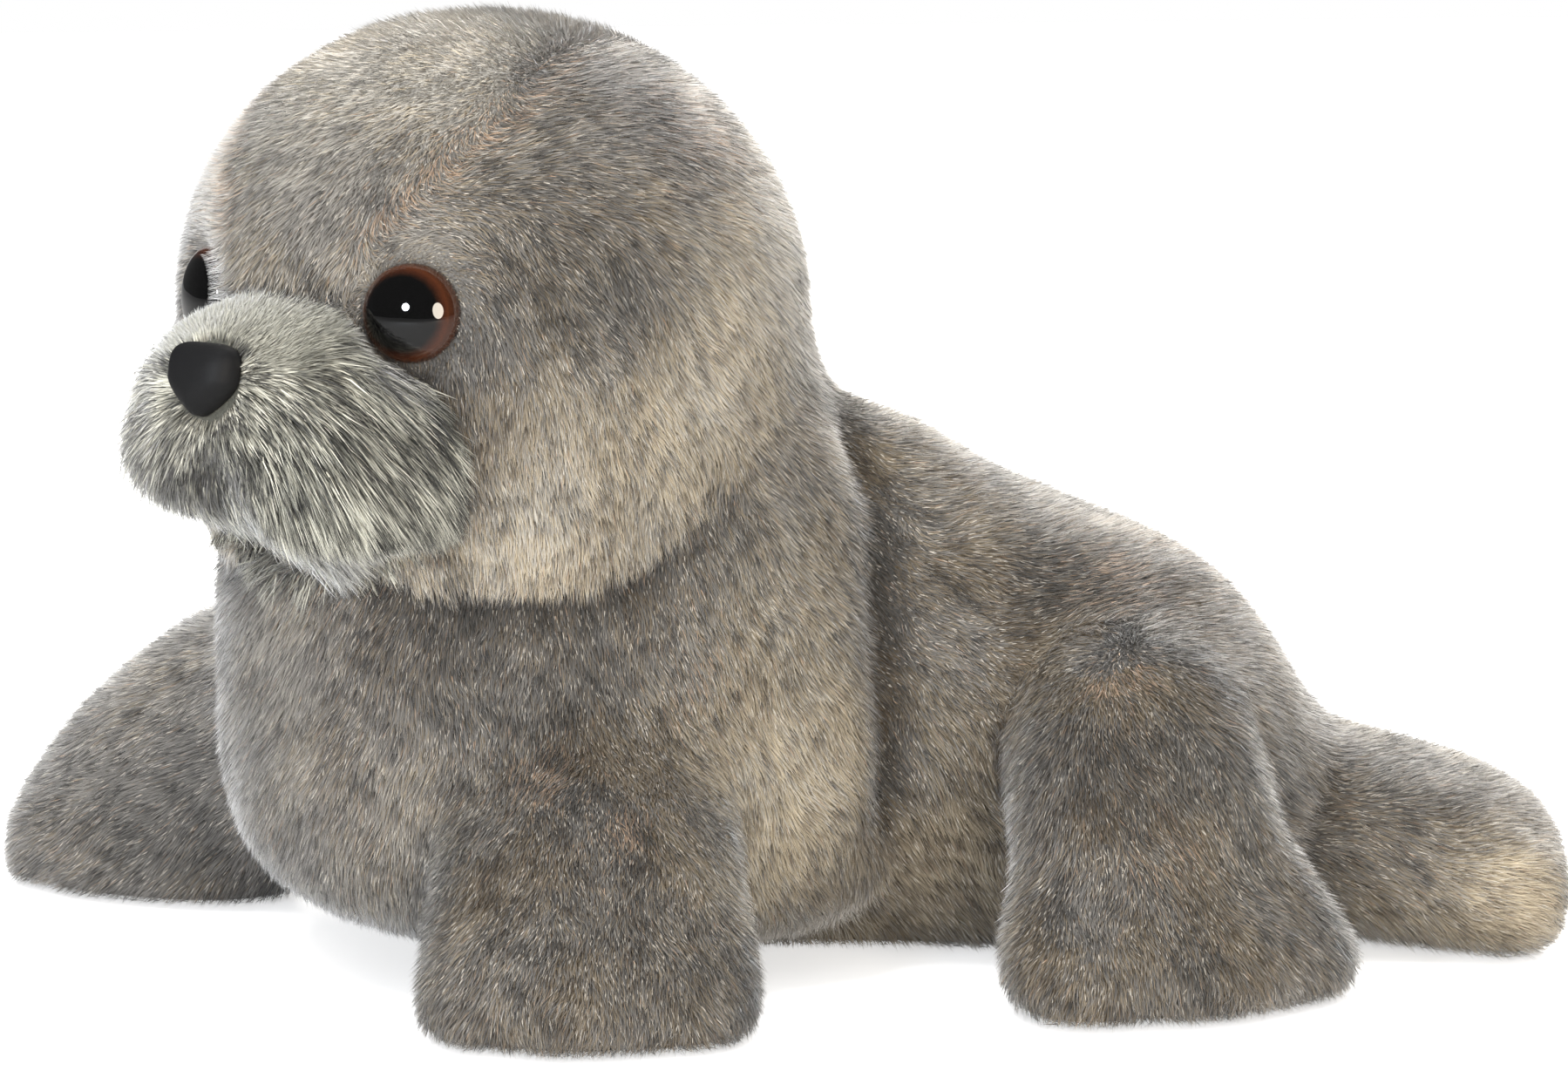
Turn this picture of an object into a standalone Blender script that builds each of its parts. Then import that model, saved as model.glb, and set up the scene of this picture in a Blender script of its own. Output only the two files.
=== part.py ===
"""Plush seal lying on its belly with its head raised and turned to its left.

The frame: the origin is on the floor under the belly, -Y is where the chest
faces, +X is the seal's left and +Z is up. All sizes are in metres and are those
of the pile's outer surface.
"""
import math

import bmesh
import bpy
import numpy as np
from mathutils import Matrix, Vector
from mathutils.bvhtree import BVHTree

# Fits
SEAM_GAP = 0.0004            # between two pieces that are sewn or pressed together
SHANK_CLEARANCE = 0.0003     # between a shank and its washer or the cloth

# Head
HEAD_PLACE = (-0.003, -0.0765)  # X and Y of the head's centre
HEAD_HEIGHT = 0.127          # of its centre above the floor
HEAD_WIDTH = 0.121
HEAD_LENGTH = 0.121
HEAD_RISE = 0.0575           # from the head's centre to its crown
HEAD_DROP = 0.0645           # and down to its underside
CROWN_FULLNESS = 2.05        # 2 is a circle's arc, more is squarer
CHEEK_FULLNESS = 3.3
CROWN_LEAN = 0.045           # how much the crown leans ahead, for each unit of height
CHIN_SLOPE = 0.10            # how much the underside falls towards the chin
HEAD_TURN = math.radians(41.5)  # to the seal's left, from straight ahead

# Muzzle, placed in the head's own directions
MUZZLE_SEAT = 0.010          # centre of the muzzle behind the front of the head
MUZZLE_DROP = 0.0215         # and below the head's centre
MUZZLE_REACH = 0.0292        # from the muzzle's centre to its front
MUZZLE_WIDTH = 0.066
MUZZLE_HEIGHT = 0.050
MUZZLE_FULLNESS = 2.25
BRIDGE_SWELL = 0.0075        # how far the bridge of the nose stands up
BRIDGE_WIDTH = 0.020
BRIDGE_ROUNDING = 0.012      # how far the bridge fades out around its line
PAD_SWELL = 0.0045           # how far each whisker pad stands out
PAD_SPACING = 0.034
PAD_LENGTH = 0.008
PAD_ROUNDING = 0.015
CHIN_SET_BACK = 0.006
CHIN_ROUNDING = 0.012
MOUTH_DEPTH = 0.0045
MOUTH_CREASE = 0.0038        # half the width of the crease
MOUTH_DROP = 0.011           # top of the mouth below the muzzle's centre
MOUTH_WIDTH = 0.036

# Eyes: domed discs with a shank, held by a washer behind the cloth
EYE_DIAMETER = 0.0184
EYE_DOME = 0.0060
EYE_RIM = 0.0012
EYE_ANGLE = math.radians(26.5)  # from the middle of the face
EYE_RISE = 0.0055            # above the head's centre
EYE_SINK = 0.0022            # rim below the pile's surface
EYE_HOLLOW = 0.0030          # how far the thread pulls the cloth in round an eye
EYE_HOLLOW_REACH = 0.0125
EYE_SHANK_DIAMETER = 0.0046
EYE_SHANK_LENGTH = 0.0140
EYE_WASHER_DIAMETER = 0.0160

# Nose: a moulded shield with the same kind of shank
NOSE_WIDTH = 0.0158
NOSE_HEIGHT = 0.0136
NOSE_DOME = 0.0062
NOSE_RIM = 0.0016
NOSE_TAPER = 0.52            # how much narrower the nose is at its lower end
NOSE_DROP = 0.0164           # below the top of the muzzle
NOSE_TILT = math.radians(12)  # the nose looks up by this much
NOSE_SINK = 0.0012
NOSE_SHANK_DIAMETER = 0.0042
NOSE_SHANK_LENGTH = 0.0120
NOSE_WASHER_DIAMETER = 0.0140

WASHER_THICKNESS = 0.0016
CLOTH_THICKNESS = 0.0016     # pinched between the rim and the washer
SHANK_RIB = 0.0006           # half the width of the rib that grips the washer

# Torso: an upright chest and a rear body behind it, which meet in a deep fold
CHEST_CENTRE = (-0.008, -0.0595)
CHEST_LENGTHS = (0.120, 0.138, 0.134, 0.124, 0.116)   # along Y, from floor to neck
CHEST_WIDTHS = (0.106, 0.118, 0.116, 0.104, 0.096)    # along X
CHEST_FULLNESS = 2.5
CHEST_TURN = math.radians(4)
CHEST_CLEARANCE = 0.004      # the front of the chest is held off the floor
CHEST_UNDERCUT = 0.020       # where that clearance starts, behind the chest's centre
REAR_START = -0.050
REAR_END = 0.090
REAR_SLANT = 0.12            # how far the tail end leans back, for each unit of height
REAR_WIDTHS = (0.070, 0.078, 0.086, 0.098, 0.092, 0.066)   # from chest to tail end
REAR_TOPS = (0.116, 0.114, 0.100, 0.088, 0.075, 0.050)
REAR_DRIFT = (-0.012, -0.011, -0.008, -0.002, 0.006, 0.010)
BELLY_FLAT = 0.005           # how far the belly's round underside is pressed flat

# Flippers: widths and thicknesses run from the shoulder or hip to the toes
FRONT_WIDTHS = (0.052, 0.057, 0.061, 0.067)
FRONT_THICKNESSES = (0.040, 0.038, 0.038, 0.040)
HIND_WIDTHS = (0.046, 0.053, 0.059, 0.082)
HIND_THICKNESSES = (0.044, 0.042, 0.037, 0.034)
TOE_ROUNDING = 0.30          # share of a flipper's length that the rounded end takes
ROOT_ROUNDING = 0.42         # and the share of its shoulder or hip
TOE_GROOVE_DEPTH = 0.0032
TOE_GROOVE_WIDTH = 0.0030
TOE_GROOVE_LENGTH = 0.016

# Middle lines of the flippers from shoulder or hip to toes. They start inside the
# body and end below the floor, which presses the soles flat.
FRONT_LEFT_LINE = ((0.034, -0.064, 0.055), (0.047, -0.066, 0.038),
                   (0.0625, -0.068, 0.016), (0.0745, -0.0705, -0.016))
FRONT_RIGHT_LINE = ((-0.032, -0.090, 0.062), (-0.050, -0.112, 0.041),
                    (-0.067, -0.136, 0.016), (-0.078, -0.152, -0.016))
HIND_LEFT_LINE = ((0.036, 0.043, 0.069), (0.047, 0.040, 0.046),
                  (0.059, 0.042, 0.020), (0.068, 0.048, -0.019))
HIND_RIGHT_LINE = ((0.010, 0.050, 0.026), (0.014, 0.080, 0.024),
                   (0.016, 0.106, 0.018), (0.018, 0.132, 0.011))

# Colours of the sewn pile and of the moulded trim
GREY_PILE = (0.155, 0.130, 0.110)
HEAD_PILE = (0.235, 0.205, 0.175)
MUZZLE_PILE = (0.290, 0.285, 0.240)
EYE_PLASTIC = (0.012, 0.006, 0.004)
NOSE_PLASTIC = (0.016, 0.016, 0.017)
WASHER_PLASTIC = (0.750, 0.750, 0.730)

FACETS = {"head": (38, 20), "muzzle": (34, 17), "chest": (34, 17), "rear": (30, 15),
          "flipper": (22, 14), "eye": 18, "nose": 22}


def clear_scene():
    for item in list(bpy.data.objects):
        bpy.data.objects.remove(item, do_unlink=True)


def material(name, colour, roughness):
    made = bpy.data.materials.new(name)
    made.use_nodes = True
    shader = made.node_tree.nodes["Principled BSDF"]
    shader.inputs["Base Color"].default_value = (*colour, 1.0)
    shader.inputs["Roughness"].default_value = roughness
    shader.inputs["Metallic"].default_value = 0.0
    return made


def smooth_key(keys, share):
    """Value at a share from 0 to 1 of a smooth curve through evenly spaced keys."""
    keys = np.asarray(keys, float)
    place = share * (len(keys) - 1)
    start = min(int(place), len(keys) - 2)
    t = place - start
    before, after = keys[max(start - 1, 0)], keys[min(start + 2, len(keys) - 1)]
    here, there = keys[start], keys[start + 1]
    slope_in, slope_out = (there - before) / 2, (after - here) / 2
    return ((2 * t**3 - 3 * t**2 + 1) * here + (t**3 - 2 * t**2 + t) * slope_in
            + (3 * t**2 - 2 * t**3) * there + (t**3 - t**2) * slope_out)


def superellipse(angle, fullness):
    """Point of the unit superellipse at an angle."""
    c, s = math.cos(angle), math.sin(angle)
    share = 2.0 / fullness
    return math.copysign(abs(c)**share, c), math.copysign(abs(s)**share, s)


def mesh_object(name, points, faces, made):
    mesh = bpy.data.meshes.new(name)
    mesh.from_pydata([tuple(p) for p in points], [], faces)
    mesh.update()
    mesh.shade_smooth()
    mesh.materials.append(made)
    item = bpy.data.objects.new(name, mesh)
    bpy.context.scene.collection.objects.link(item)
    return item


def closed_tube(name, rings, first, last, made):
    """Closed skin over rings of points, with a pole point at each end."""
    count = len(rings[0])
    points = [first] + [p for ring in rings for p in ring] + [last]
    faces = []
    for side in range(count):
        after = (side + 1) % count
        faces.append((0, 1 + after, 1 + side))
        for row in range(len(rings) - 1):
            low, high = 1 + row * count, 1 + (row + 1) * count
            faces.append((low + side, low + after, high + after, high + side))
        top = 1 + (len(rings) - 1) * count
        faces.append((top + side, top + after, len(points) - 1))
    item = mesh_object(name, points, faces, made)
    outward(item)
    return item


def outward(item):
    """Turn the faces out, and split them so that a seat has the same triangles."""
    shape = bmesh.new()
    shape.from_mesh(item.data)
    bmesh.ops.recalc_face_normals(shape, faces=shape.faces)
    bmesh.ops.triangulate(shape, faces=shape.faces)
    shape.to_mesh(item.data)
    shape.free()


def groove(item, start, end, width, depth):
    """Pull the skin in along the line from start to end, as a tight stitch does."""
    a, b = Vector(start), Vector(end)
    run = b - a
    for vertex in item.data.vertices:
        share = 0.0
        if run.length > 1e-9:
            share = min(max((vertex.co - a).dot(run) / run.length_squared, 0.0), 1.0)
        away = (vertex.co - (a + run * share)).length
        vertex.co -= vertex.normal * depth * math.exp(-(away / width)**2)
    item.data.update()


def grown(item, by):
    """Hidden copy of a piece, larger all round, that cuts the seat for it."""
    cutter = bpy.data.objects.new(item.name + "_seat", item.data.copy())
    bpy.context.scene.collection.objects.link(cutter)
    normals = [vertex.normal.copy() for vertex in cutter.data.vertices]
    for vertex, normal in zip(cutter.data.vertices, normals):
        vertex.co += normal * by
    cutter.matrix_world = item.matrix_world.copy()
    return hidden(cutter)


def hidden(item):
    item.hide_render = True
    item.display_type = 'WIRE'
    return item


def combine(item, other, operation):
    step = item.modifiers.new(operation.title() + " " + other.name, 'BOOLEAN')
    step.operation = operation
    step.solver = 'EXACT'
    step.object = other
    return step


def end_round(share, cap):
    """Factor on a section's size that rounds the last part of a form."""
    if share <= 1 - cap:
        return 1.0
    t = (share - (1 - cap)) / cap
    return (1 - t**2.4)**(1 / 2.4) if t < 1 else 0.0


def head_matrix():
    place = Matrix.Translation((*HEAD_PLACE, HEAD_HEIGHT))
    return place @ Matrix.Rotation(HEAD_TURN, 4, 'Z')


def skin_point(item, direction, start=Vector((0, 0, 0))):
    """Where a line from a point inside leaves the piece, in its own directions."""
    tree = BVHTree.FromPolygons([v.co.copy() for v in item.data.vertices],
                                [tuple(f.vertices) for f in item.data.polygons])
    return tree.ray_cast(start + direction * 0.2, -direction)[0]


def ball(name, centre, radii, fullness, facets, made):
    """Plump ball with its poles at its front and back, at (0, -y, 0) and (0, y, 0)."""
    sides, rows = facets
    rings = []
    for row in range(1, rows):
        along, around = superellipse(math.pi * row / rows, fullness)
        ring = []
        for side in range(sides):
            x, z = superellipse(2 * math.pi * side / sides, fullness)
            ring.append(Vector((x * around * radii[0], -along * radii[1],
                                z * around * radii[2])) + centre)
        rings.append(ring)
    return closed_tube(name, rings, centre - Vector((0, radii[1], 0)),
                       centre + Vector((0, radii[1], 0)), made)


def eye_direction(side):
    flat = Vector((side * math.sin(EYE_ANGLE), -math.cos(EYE_ANGLE), 0))
    direction = flat * (HEAD_LENGTH / 2) + Vector((0, 0, EYE_RISE))
    return direction.normalized()


def make_head(made):
    """Head lofted from its underside to its crown, with the eyes pulled in."""
    sides, rows = FACETS["head"]
    rings = []
    for row in range(1, rows):
        angle = math.pi * (row / rows - 0.5)
        below = angle < 0
        fullness = CHEEK_FULLNESS if below else CROWN_FULLNESS
        size, rise = superellipse(angle, fullness)
        height = rise * (HEAD_DROP if below else HEAD_RISE)
        ring = []
        for side in range(sides):
            x, y = superellipse(2 * math.pi * side / sides, 2.1)
            ahead = -y * size * HEAD_LENGTH / 2
            ring.append(Vector((x * size * HEAD_WIDTH / 2,
                                -ahead - height * CROWN_LEAN,
                                height - (CHIN_SLOPE * ahead * rise**2 if below else 0))))
        rings.append(ring)
    head = closed_tube("head", rings, Vector((0, 0, -HEAD_DROP)),
                       Vector((0, -HEAD_RISE * CROWN_LEAN, HEAD_RISE)), made)
    for side in (-1, 1):
        eye = skin_point(head, eye_direction(side))
        groove(head, eye, eye, EYE_HOLLOW_REACH, EYE_HOLLOW)
    head.matrix_world = head_matrix()
    return head


def muzzle_centre():
    return Vector((0, MUZZLE_SEAT - HEAD_LENGTH / 2, -MUZZLE_DROP))


def make_muzzle(made):
    centre = muzzle_centre()
    radii = (MUZZLE_WIDTH / 2, MUZZLE_REACH, MUZZLE_HEIGHT / 2)
    muzzle = ball("muzzle", centre, radii, MUZZLE_FULLNESS, FACETS["muzzle"], made)
    front = -MUZZLE_REACH
    bridge = centre + Vector((0, front * 0.62, MUZZLE_HEIGHT * 0.42))
    groove(muzzle, bridge - Vector((BRIDGE_WIDTH / 2, 0, 0)),
           bridge + Vector((BRIDGE_WIDTH / 2, 0, 0)), BRIDGE_ROUNDING, -BRIDGE_SWELL)
    for side in (-1, 1):
        pad = centre + Vector((side * PAD_SPACING / 2, front * 0.80, -PAD_LENGTH / 2))
        groove(muzzle, pad, pad + Vector((side, 1, -1)) * PAD_LENGTH, PAD_ROUNDING,
               -PAD_SWELL)
    chin = centre + Vector((0, front * 0.75, -MUZZLE_HEIGHT * 0.42))
    groove(muzzle, chin, chin, CHIN_ROUNDING, CHIN_SET_BACK)
    lip = centre + Vector((0, front, -MOUTH_DROP))
    groove(muzzle, centre + Vector((0, front, MOUTH_CREASE)), lip, MOUTH_CREASE,
           MOUTH_DEPTH)
    for side in (-1, 1):
        corner = lip + Vector((side * 0.9, 0.4, -0.5)) * MOUTH_WIDTH / 2
        groove(muzzle, lip, corner, MOUTH_CREASE, MOUTH_DEPTH)
    muzzle.matrix_world = head_matrix()
    return muzzle


def turned(name, profile, sides, made):
    """Body turned about Z from (radius, height) points; both ends are on the axis."""
    rings = []
    for radius, height in profile[1:-1]:
        rings.append([Vector((radius * math.cos(2 * math.pi * k / sides),
                              radius * math.sin(2 * math.pi * k / sides), height))
                      for k in range(sides)])
    item = closed_tube(name, rings, Vector((0, 0, profile[0][1])),
                       Vector((0, 0, profile[-1][1])), made)
    item.data.set_sharp_from_angle(angle=math.radians(40))
    return item


def shank_profile(diameter, length):
    """Ribbed shank behind a moulded face, from its tip to its root at height 0."""
    radius = diameter / 2
    points = [(0, -length), (radius * 0.6, -length), (radius, -length + radius)]
    for rib in (0.45,):
        points += [(radius, -length * rib - SHANK_RIB), (radius * 0.86, -length * rib),
                   (radius, -length * rib + SHANK_RIB)]
    return points + [(radius, 0.0)]


def make_eye(name, made):
    profile = shank_profile(EYE_SHANK_DIAMETER, EYE_SHANK_LENGTH)
    radius = EYE_DIAMETER / 2
    profile += [(radius * 0.90, 0.0), (radius, EYE_RIM * 0.5)]
    for step in range(5):
        angle = math.pi / 2 * step / 5
        profile.append((radius * math.cos(angle),
                        EYE_RIM + (EYE_DOME - EYE_RIM) * math.sin(angle)))
    profile.append((0, EYE_DOME))
    return turned(name, profile, FACETS["eye"], made)


def make_washer(name, diameter, shank, made):
    """Toothless lock washer: a flat ring a little wider than the shank inside."""
    hole = shank / 2 + SHANK_CLEARANCE
    outer, top = diameter / 2, -CLOTH_THICKNESS - SEAM_GAP
    low = top - WASHER_THICKNESS
    sides = FACETS["eye"]
    rings = []
    for radius, height in ((hole, low), (outer * 0.94, low), (outer, low * 0.5 + top * 0.5),
                           (outer * 0.94, top), (hole, top)):
        rings.append([Vector((radius * math.cos(2 * math.pi * k / sides),
                              radius * math.sin(2 * math.pi * k / sides), height))
                      for k in range(sides)])
    points = [p for ring in rings for p in ring]
    faces = []
    for row in range(len(rings)):
        low_row, high_row = row * sides, ((row + 1) % len(rings)) * sides
        for k in range(sides):
            after = (k + 1) % sides
            faces.append((low_row + k, low_row + after, high_row + after, high_row + k))
    item = mesh_object(name, points, faces, made)
    outward(item)
    item.data.set_sharp_from_angle(angle=math.radians(40))
    return item


def nose_outline(share):
    """Half size of the shield at a share of a turn: flat on top, narrow below."""
    x, z = superellipse(2 * math.pi * share, 2.5)
    narrow = 1 - NOSE_TAPER * max(0.0, 0.35 - z) / 1.35
    return x * narrow * NOSE_WIDTH / 2, z * NOSE_HEIGHT / 2


def make_nose(made):
    sides = FACETS["nose"]
    rings = []
    for radius, height in shank_profile(NOSE_SHANK_DIAMETER, NOSE_SHANK_LENGTH)[1:]:
        rings.append([Vector((radius * math.cos(2 * math.pi * k / sides),
                              radius * math.sin(2 * math.pi * k / sides), height))
                      for k in range(sides)])
    steps = [(0.88, 0.0), (1.0, NOSE_RIM * 0.5), (1.0, NOSE_RIM)]
    for step in range(1, 5):
        angle = math.pi / 2 * step / 5
        steps.append((math.cos(angle)**0.8,
                      NOSE_RIM + (NOSE_DOME - NOSE_RIM) * math.sin(angle)))
    for scale, height in steps:
        ring = []
        for k in range(sides):
            x, z = nose_outline(k / sides)
            ring.append(Vector((x * scale, z * scale, height)))
        rings.append(ring)
    item = closed_tube("nose", rings, Vector((0, 0, -NOSE_SHANK_LENGTH)),
                       Vector((0, 0, NOSE_DOME)), made)
    item.data.set_sharp_from_angle(angle=math.radians(50))
    return item


def facing(place, direction):
    """Matrix that stands a fitting at a place with its +Z along a direction."""
    turn = direction.to_track_quat('Z', 'Y').to_matrix().to_4x4()
    return head_matrix() @ Matrix.Translation(place) @ turn


def eye_matrix(side, head):
    direction = eye_direction(side)
    return facing(skin_point(head, direction) - direction * EYE_SINK, direction)


def nose_matrix(muzzle):
    direction = Vector((0, -math.cos(NOSE_TILT), math.sin(NOSE_TILT)))
    height = MUZZLE_HEIGHT / 2 - NOSE_DROP
    seat = skin_point(muzzle, direction, muzzle_centre() + Vector((0, 0, height)))
    return facing(seat - direction * NOSE_SINK, direction)


def make_chest(made):
    """Upright barrel from the floor to inside the head, turned with the shoulders."""
    sides, rows = FACETS["chest"]
    top = HEAD_HEIGHT
    turn = Matrix.Rotation(CHEST_TURN, 3, 'Z')
    rings = []
    for row in range(1, rows):
        share = row / rows
        height = top * share
        base = 1 - (1 - min(share / 0.17, 1.0))**2.4
        size = base**(1 / 2.4) * end_round(share, 0.16)
        lean = smooth_key((CHEST_CENTRE, HEAD_PLACE), share**2)
        ring = []
        for side in range(sides):
            x, y = superellipse(2 * math.pi * side / sides, CHEST_FULLNESS)
            spot = turn @ Vector((x * size * smooth_key(CHEST_WIDTHS, share) / 2,
                                  y * size * smooth_key(CHEST_LENGTHS, share) / 2, 0))
            spot += Vector((lean[0], lean[1], height))
            behind = CHEST_CENTRE[1] + CHEST_UNDERCUT
            front = max(0.0, (behind - spot.y) / (CHEST_LENGTHS[1] / 2))
            spot.z += CHEST_CLEARANCE * min(front, 1.0) * (1 - share)**3
            ring.append(spot)
        rings.append(ring)
    centre = Vector((*CHEST_CENTRE, 0.0))
    return closed_tube("torso", rings, centre, Vector((*HEAD_PLACE, top)), made)


def make_rear(made):
    """Rear body: a loft along Y whose back slopes down to the tail end."""
    sides, rows = FACETS["rear"]
    rings = []
    for row in range(1, rows):
        share = math.sin(math.pi / 2 * row / rows)**1.15 if row > rows * 0.5 else None
        share = row / rows if share is None else 0.5 * row / rows + 0.5 * share
        size = end_round(share, 0.30) * (1 - (1 - min(share / 0.1, 1))**2.2)**(1 / 2.2)
        y = REAR_START + (REAR_END - REAR_START) * share
        top = smooth_key(REAR_TOPS, share)
        middle = (top - BELLY_FLAT) / 2
        ring = []
        for side in range(sides):
            x, z = superellipse(2 * math.pi * side / sides, 2.2)
            lift = z * size * (top + BELLY_FLAT) / 2
            ring.append(Vector((smooth_key(REAR_DRIFT, share)
                                + x * size * smooth_key(REAR_WIDTHS, share) / 2,
                                y + lift * REAR_SLANT * share**2, middle + lift)))
        rings.append(ring)
    ends = []
    for share, y in ((0.0, REAR_START), (1.0, REAR_END)):
        ends.append(Vector((smooth_key(REAR_DRIFT, share), y,
                            (smooth_key(REAR_TOPS, share) - BELLY_FLAT) / 2)))
    return closed_tube("rear", rings, ends[0], ends[1], made)


def make_flipper(name, spine, across, widths, thicknesses, grooves, made):
    """Stuffed flipper lofted along its spine, with stitched grooves between toes."""
    sides, rows = FACETS["flipper"]
    across = [Vector(a).normalized() for a in across]
    rings, places = [], []
    for row in range(1, rows):
        share = 1 - (1 - row / rows)**1.35
        here = Vector(smooth_key(spine, share))
        ahead = Vector(smooth_key(spine, min(share + 0.02, 1.0)))
        behind = Vector(smooth_key(spine, max(share - 0.02, 0.0)))
        along = (ahead - behind).normalized()
        wide = across[0].lerp(across[1], share)
        wide = (wide - along * wide.dot(along)).normalized()
        thick = along.cross(wide)
        root = 1 - (1 - min(share / ROOT_ROUNDING, 1))**2
        size = end_round(share, TOE_ROUNDING) * root**0.5
        width, thickness = smooth_key(widths, share), smooth_key(thicknesses, share)
        ring = []
        for side in range(sides):
            x, z = superellipse(2 * math.pi * side / sides, 2.25)
            ring.append(here + wide * x * size * width / 2
                        + thick * z * size * thickness / 2)
        rings.append(ring)
        places.append((here, wide, thick, along, width, thickness))
    flipper = closed_tube(name, rings, Vector(spine[0]), Vector(spine[-1]), made)
    here, wide, thick, along, width, thickness = places[-4]
    for offset in (-0.19, 0.19):
        toe = here + wide * width * offset + thick * grooves * thickness * 0.46
        groove(flipper, toe, toe + along * TOE_GROOVE_LENGTH, TOE_GROOVE_WIDTH,
               TOE_GROOVE_DEPTH)
    return flipper


def make_floor():
    """Hidden block below the floor, which presses soles and belly flat."""
    shape = bmesh.new()
    bmesh.ops.create_cube(shape, size=1.0)
    mesh = bpy.data.meshes.new("floor_block")
    shape.to_mesh(mesh)
    shape.free()
    block = bpy.data.objects.new("floor_block", mesh)
    bpy.context.scene.collection.objects.link(block)
    block.location = (0, 0, -0.5)
    return hidden(block)


def build():
    clear_scene()
    pile = material("grey pile", GREY_PILE, 0.95)
    head_pile = material("head pile", HEAD_PILE, 0.95)
    long_pile = material("muzzle pile", MUZZLE_PILE, 0.95)
    eye_plastic = material("eye plastic", EYE_PLASTIC, 0.06)
    nose_plastic = material("nose plastic", NOSE_PLASTIC, 0.50)
    washer_plastic = material("washer plastic", WASHER_PLASTIC, 0.45)

    head = make_head(head_pile)
    muzzle = make_muzzle(long_pile)
    nose = make_nose(nose_plastic)
    nose.matrix_world = nose_matrix(muzzle)
    nose_washer = make_washer("nose_washer", NOSE_WASHER_DIAMETER, NOSE_SHANK_DIAMETER,
                              washer_plastic)
    nose_washer.matrix_world = nose_matrix(muzzle)
    eyes = []
    for label, side in (("left", 1), ("right", -1)):
        eye = make_eye("eye_" + label, eye_plastic)
        eye.matrix_world = eye_matrix(side, head)
        washer = make_washer("eye_washer_" + label, EYE_WASHER_DIAMETER,
                             EYE_SHANK_DIAMETER, washer_plastic)
        washer.matrix_world = eye_matrix(side, head)
        eyes.append((eye, washer))

    torso = make_chest(pile)
    rear = make_rear(pile)
    floor = make_floor()
    chest_seat, rear_seat = grown(torso, SEAM_GAP), grown(rear, SEAM_GAP)
    head_seat = grown(head, SEAM_GAP)
    combine(torso, hidden(rear), 'UNION')
    combine(torso, head_seat, 'DIFFERENCE')
    combine(torso, floor, 'DIFFERENCE')

    combine(muzzle, head_seat, 'DIFFERENCE')
    combine(muzzle, chest_seat, 'DIFFERENCE')
    for fitting in (nose, nose_washer):
        combine(muzzle, grown(fitting, SHANK_CLEARANCE), 'DIFFERENCE')
    for eye, washer in eyes:
        seat, washer_seat = grown(eye, SHANK_CLEARANCE), grown(washer, SHANK_CLEARANCE)
        combine(muzzle, seat, 'DIFFERENCE')
        combine(head, seat, 'DIFFERENCE')
        combine(head, washer_seat, 'DIFFERENCE')

    limbs = [
        make_flipper("front_flipper_left", FRONT_LEFT_LINE, ((0.17, 0.98, 0), (0.17, 0.98, 0)),
                     FRONT_WIDTHS, FRONT_THICKNESSES, 1, pile),
        make_flipper("front_flipper_right", FRONT_RIGHT_LINE, ((0.5, 0.8, 0), (0.585, 0.81, 0)),
                     FRONT_WIDTHS, FRONT_THICKNESSES, 1, pile),
        make_flipper("hind_flipper_left", HIND_LEFT_LINE, ((0.1, 0.99, 0), (-0.32, 0.95, 0)),
                     HIND_WIDTHS, HIND_THICKNESSES, 1, pile),
        make_flipper("hind_flipper_right", HIND_RIGHT_LINE, ((1, 0, -0.2), (1, 0, -0.17)),
                     HIND_WIDTHS, HIND_THICKNESSES, -1, pile),
    ]
    for limb in limbs:
        for cutter in (chest_seat, rear_seat, floor):
            combine(limb, cutter, 'DIFFERENCE')
    return [head, muzzle, nose, nose_washer, torso] + [p for pair in eyes for p in pair] + limbs


if __name__ == "__main__":
    build()
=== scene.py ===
"""Looks of a plush seal that lies on its belly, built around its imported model.

Each soft piece is a closed mat of packed fibres that follows the stuffing, with a pile of
single fibres standing on it. A fibre's colour depends only on its place in the map called
"Strand", which says its tone across and runs from root to tip upward.
"""
import math
from collections import namedtuple
from functools import lru_cache

import bpy
import numpy as np
from bpy.props import FloatProperty, FloatVectorProperty, IntProperty, PointerProperty
from mathutils import Matrix, Vector
from mathutils.bvhtree import BVHTree


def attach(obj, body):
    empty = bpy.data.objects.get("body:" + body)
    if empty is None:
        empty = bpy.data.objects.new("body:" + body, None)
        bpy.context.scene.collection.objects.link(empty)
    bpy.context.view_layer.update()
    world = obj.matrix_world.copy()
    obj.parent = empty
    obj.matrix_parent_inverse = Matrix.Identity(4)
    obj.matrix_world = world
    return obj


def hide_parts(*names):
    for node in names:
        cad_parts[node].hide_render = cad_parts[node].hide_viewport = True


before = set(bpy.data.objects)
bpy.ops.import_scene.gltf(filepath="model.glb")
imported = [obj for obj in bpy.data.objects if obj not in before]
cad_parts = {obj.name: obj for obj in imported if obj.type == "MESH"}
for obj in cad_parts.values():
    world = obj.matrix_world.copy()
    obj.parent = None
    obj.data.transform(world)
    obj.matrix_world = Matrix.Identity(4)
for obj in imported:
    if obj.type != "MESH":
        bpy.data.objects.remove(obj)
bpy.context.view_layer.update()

bl_info = {
    "name": "Plush Seal",
    "version": (1, 0, 0),
    "blender": (4, 5, 0),
    "location": "View3D > Sidebar > Seal",
    "description": "Dresses the seal's solids in fibre mats, pile and moulded trim",
    "category": "Add Mesh",
}

SOFT_NODES = ("head", "muzzle", "torso", "front_flipper_left", "front_flipper_right",
              "hind_flipper_left", "hind_flipper_right")
TRIM_NODES = ("nose", "nose_washer", "eye_left", "eye_washer_left", "eye_right",
              "eye_washer_right")
HEAD, MUZZLE, TORSO, FIRST_FLIPPER, HIND_LEFT = (SOFT_NODES.index(name) for name in (
    "head", "muzzle", "torso", "front_flipper_left", "hind_flipper_left"))

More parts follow.
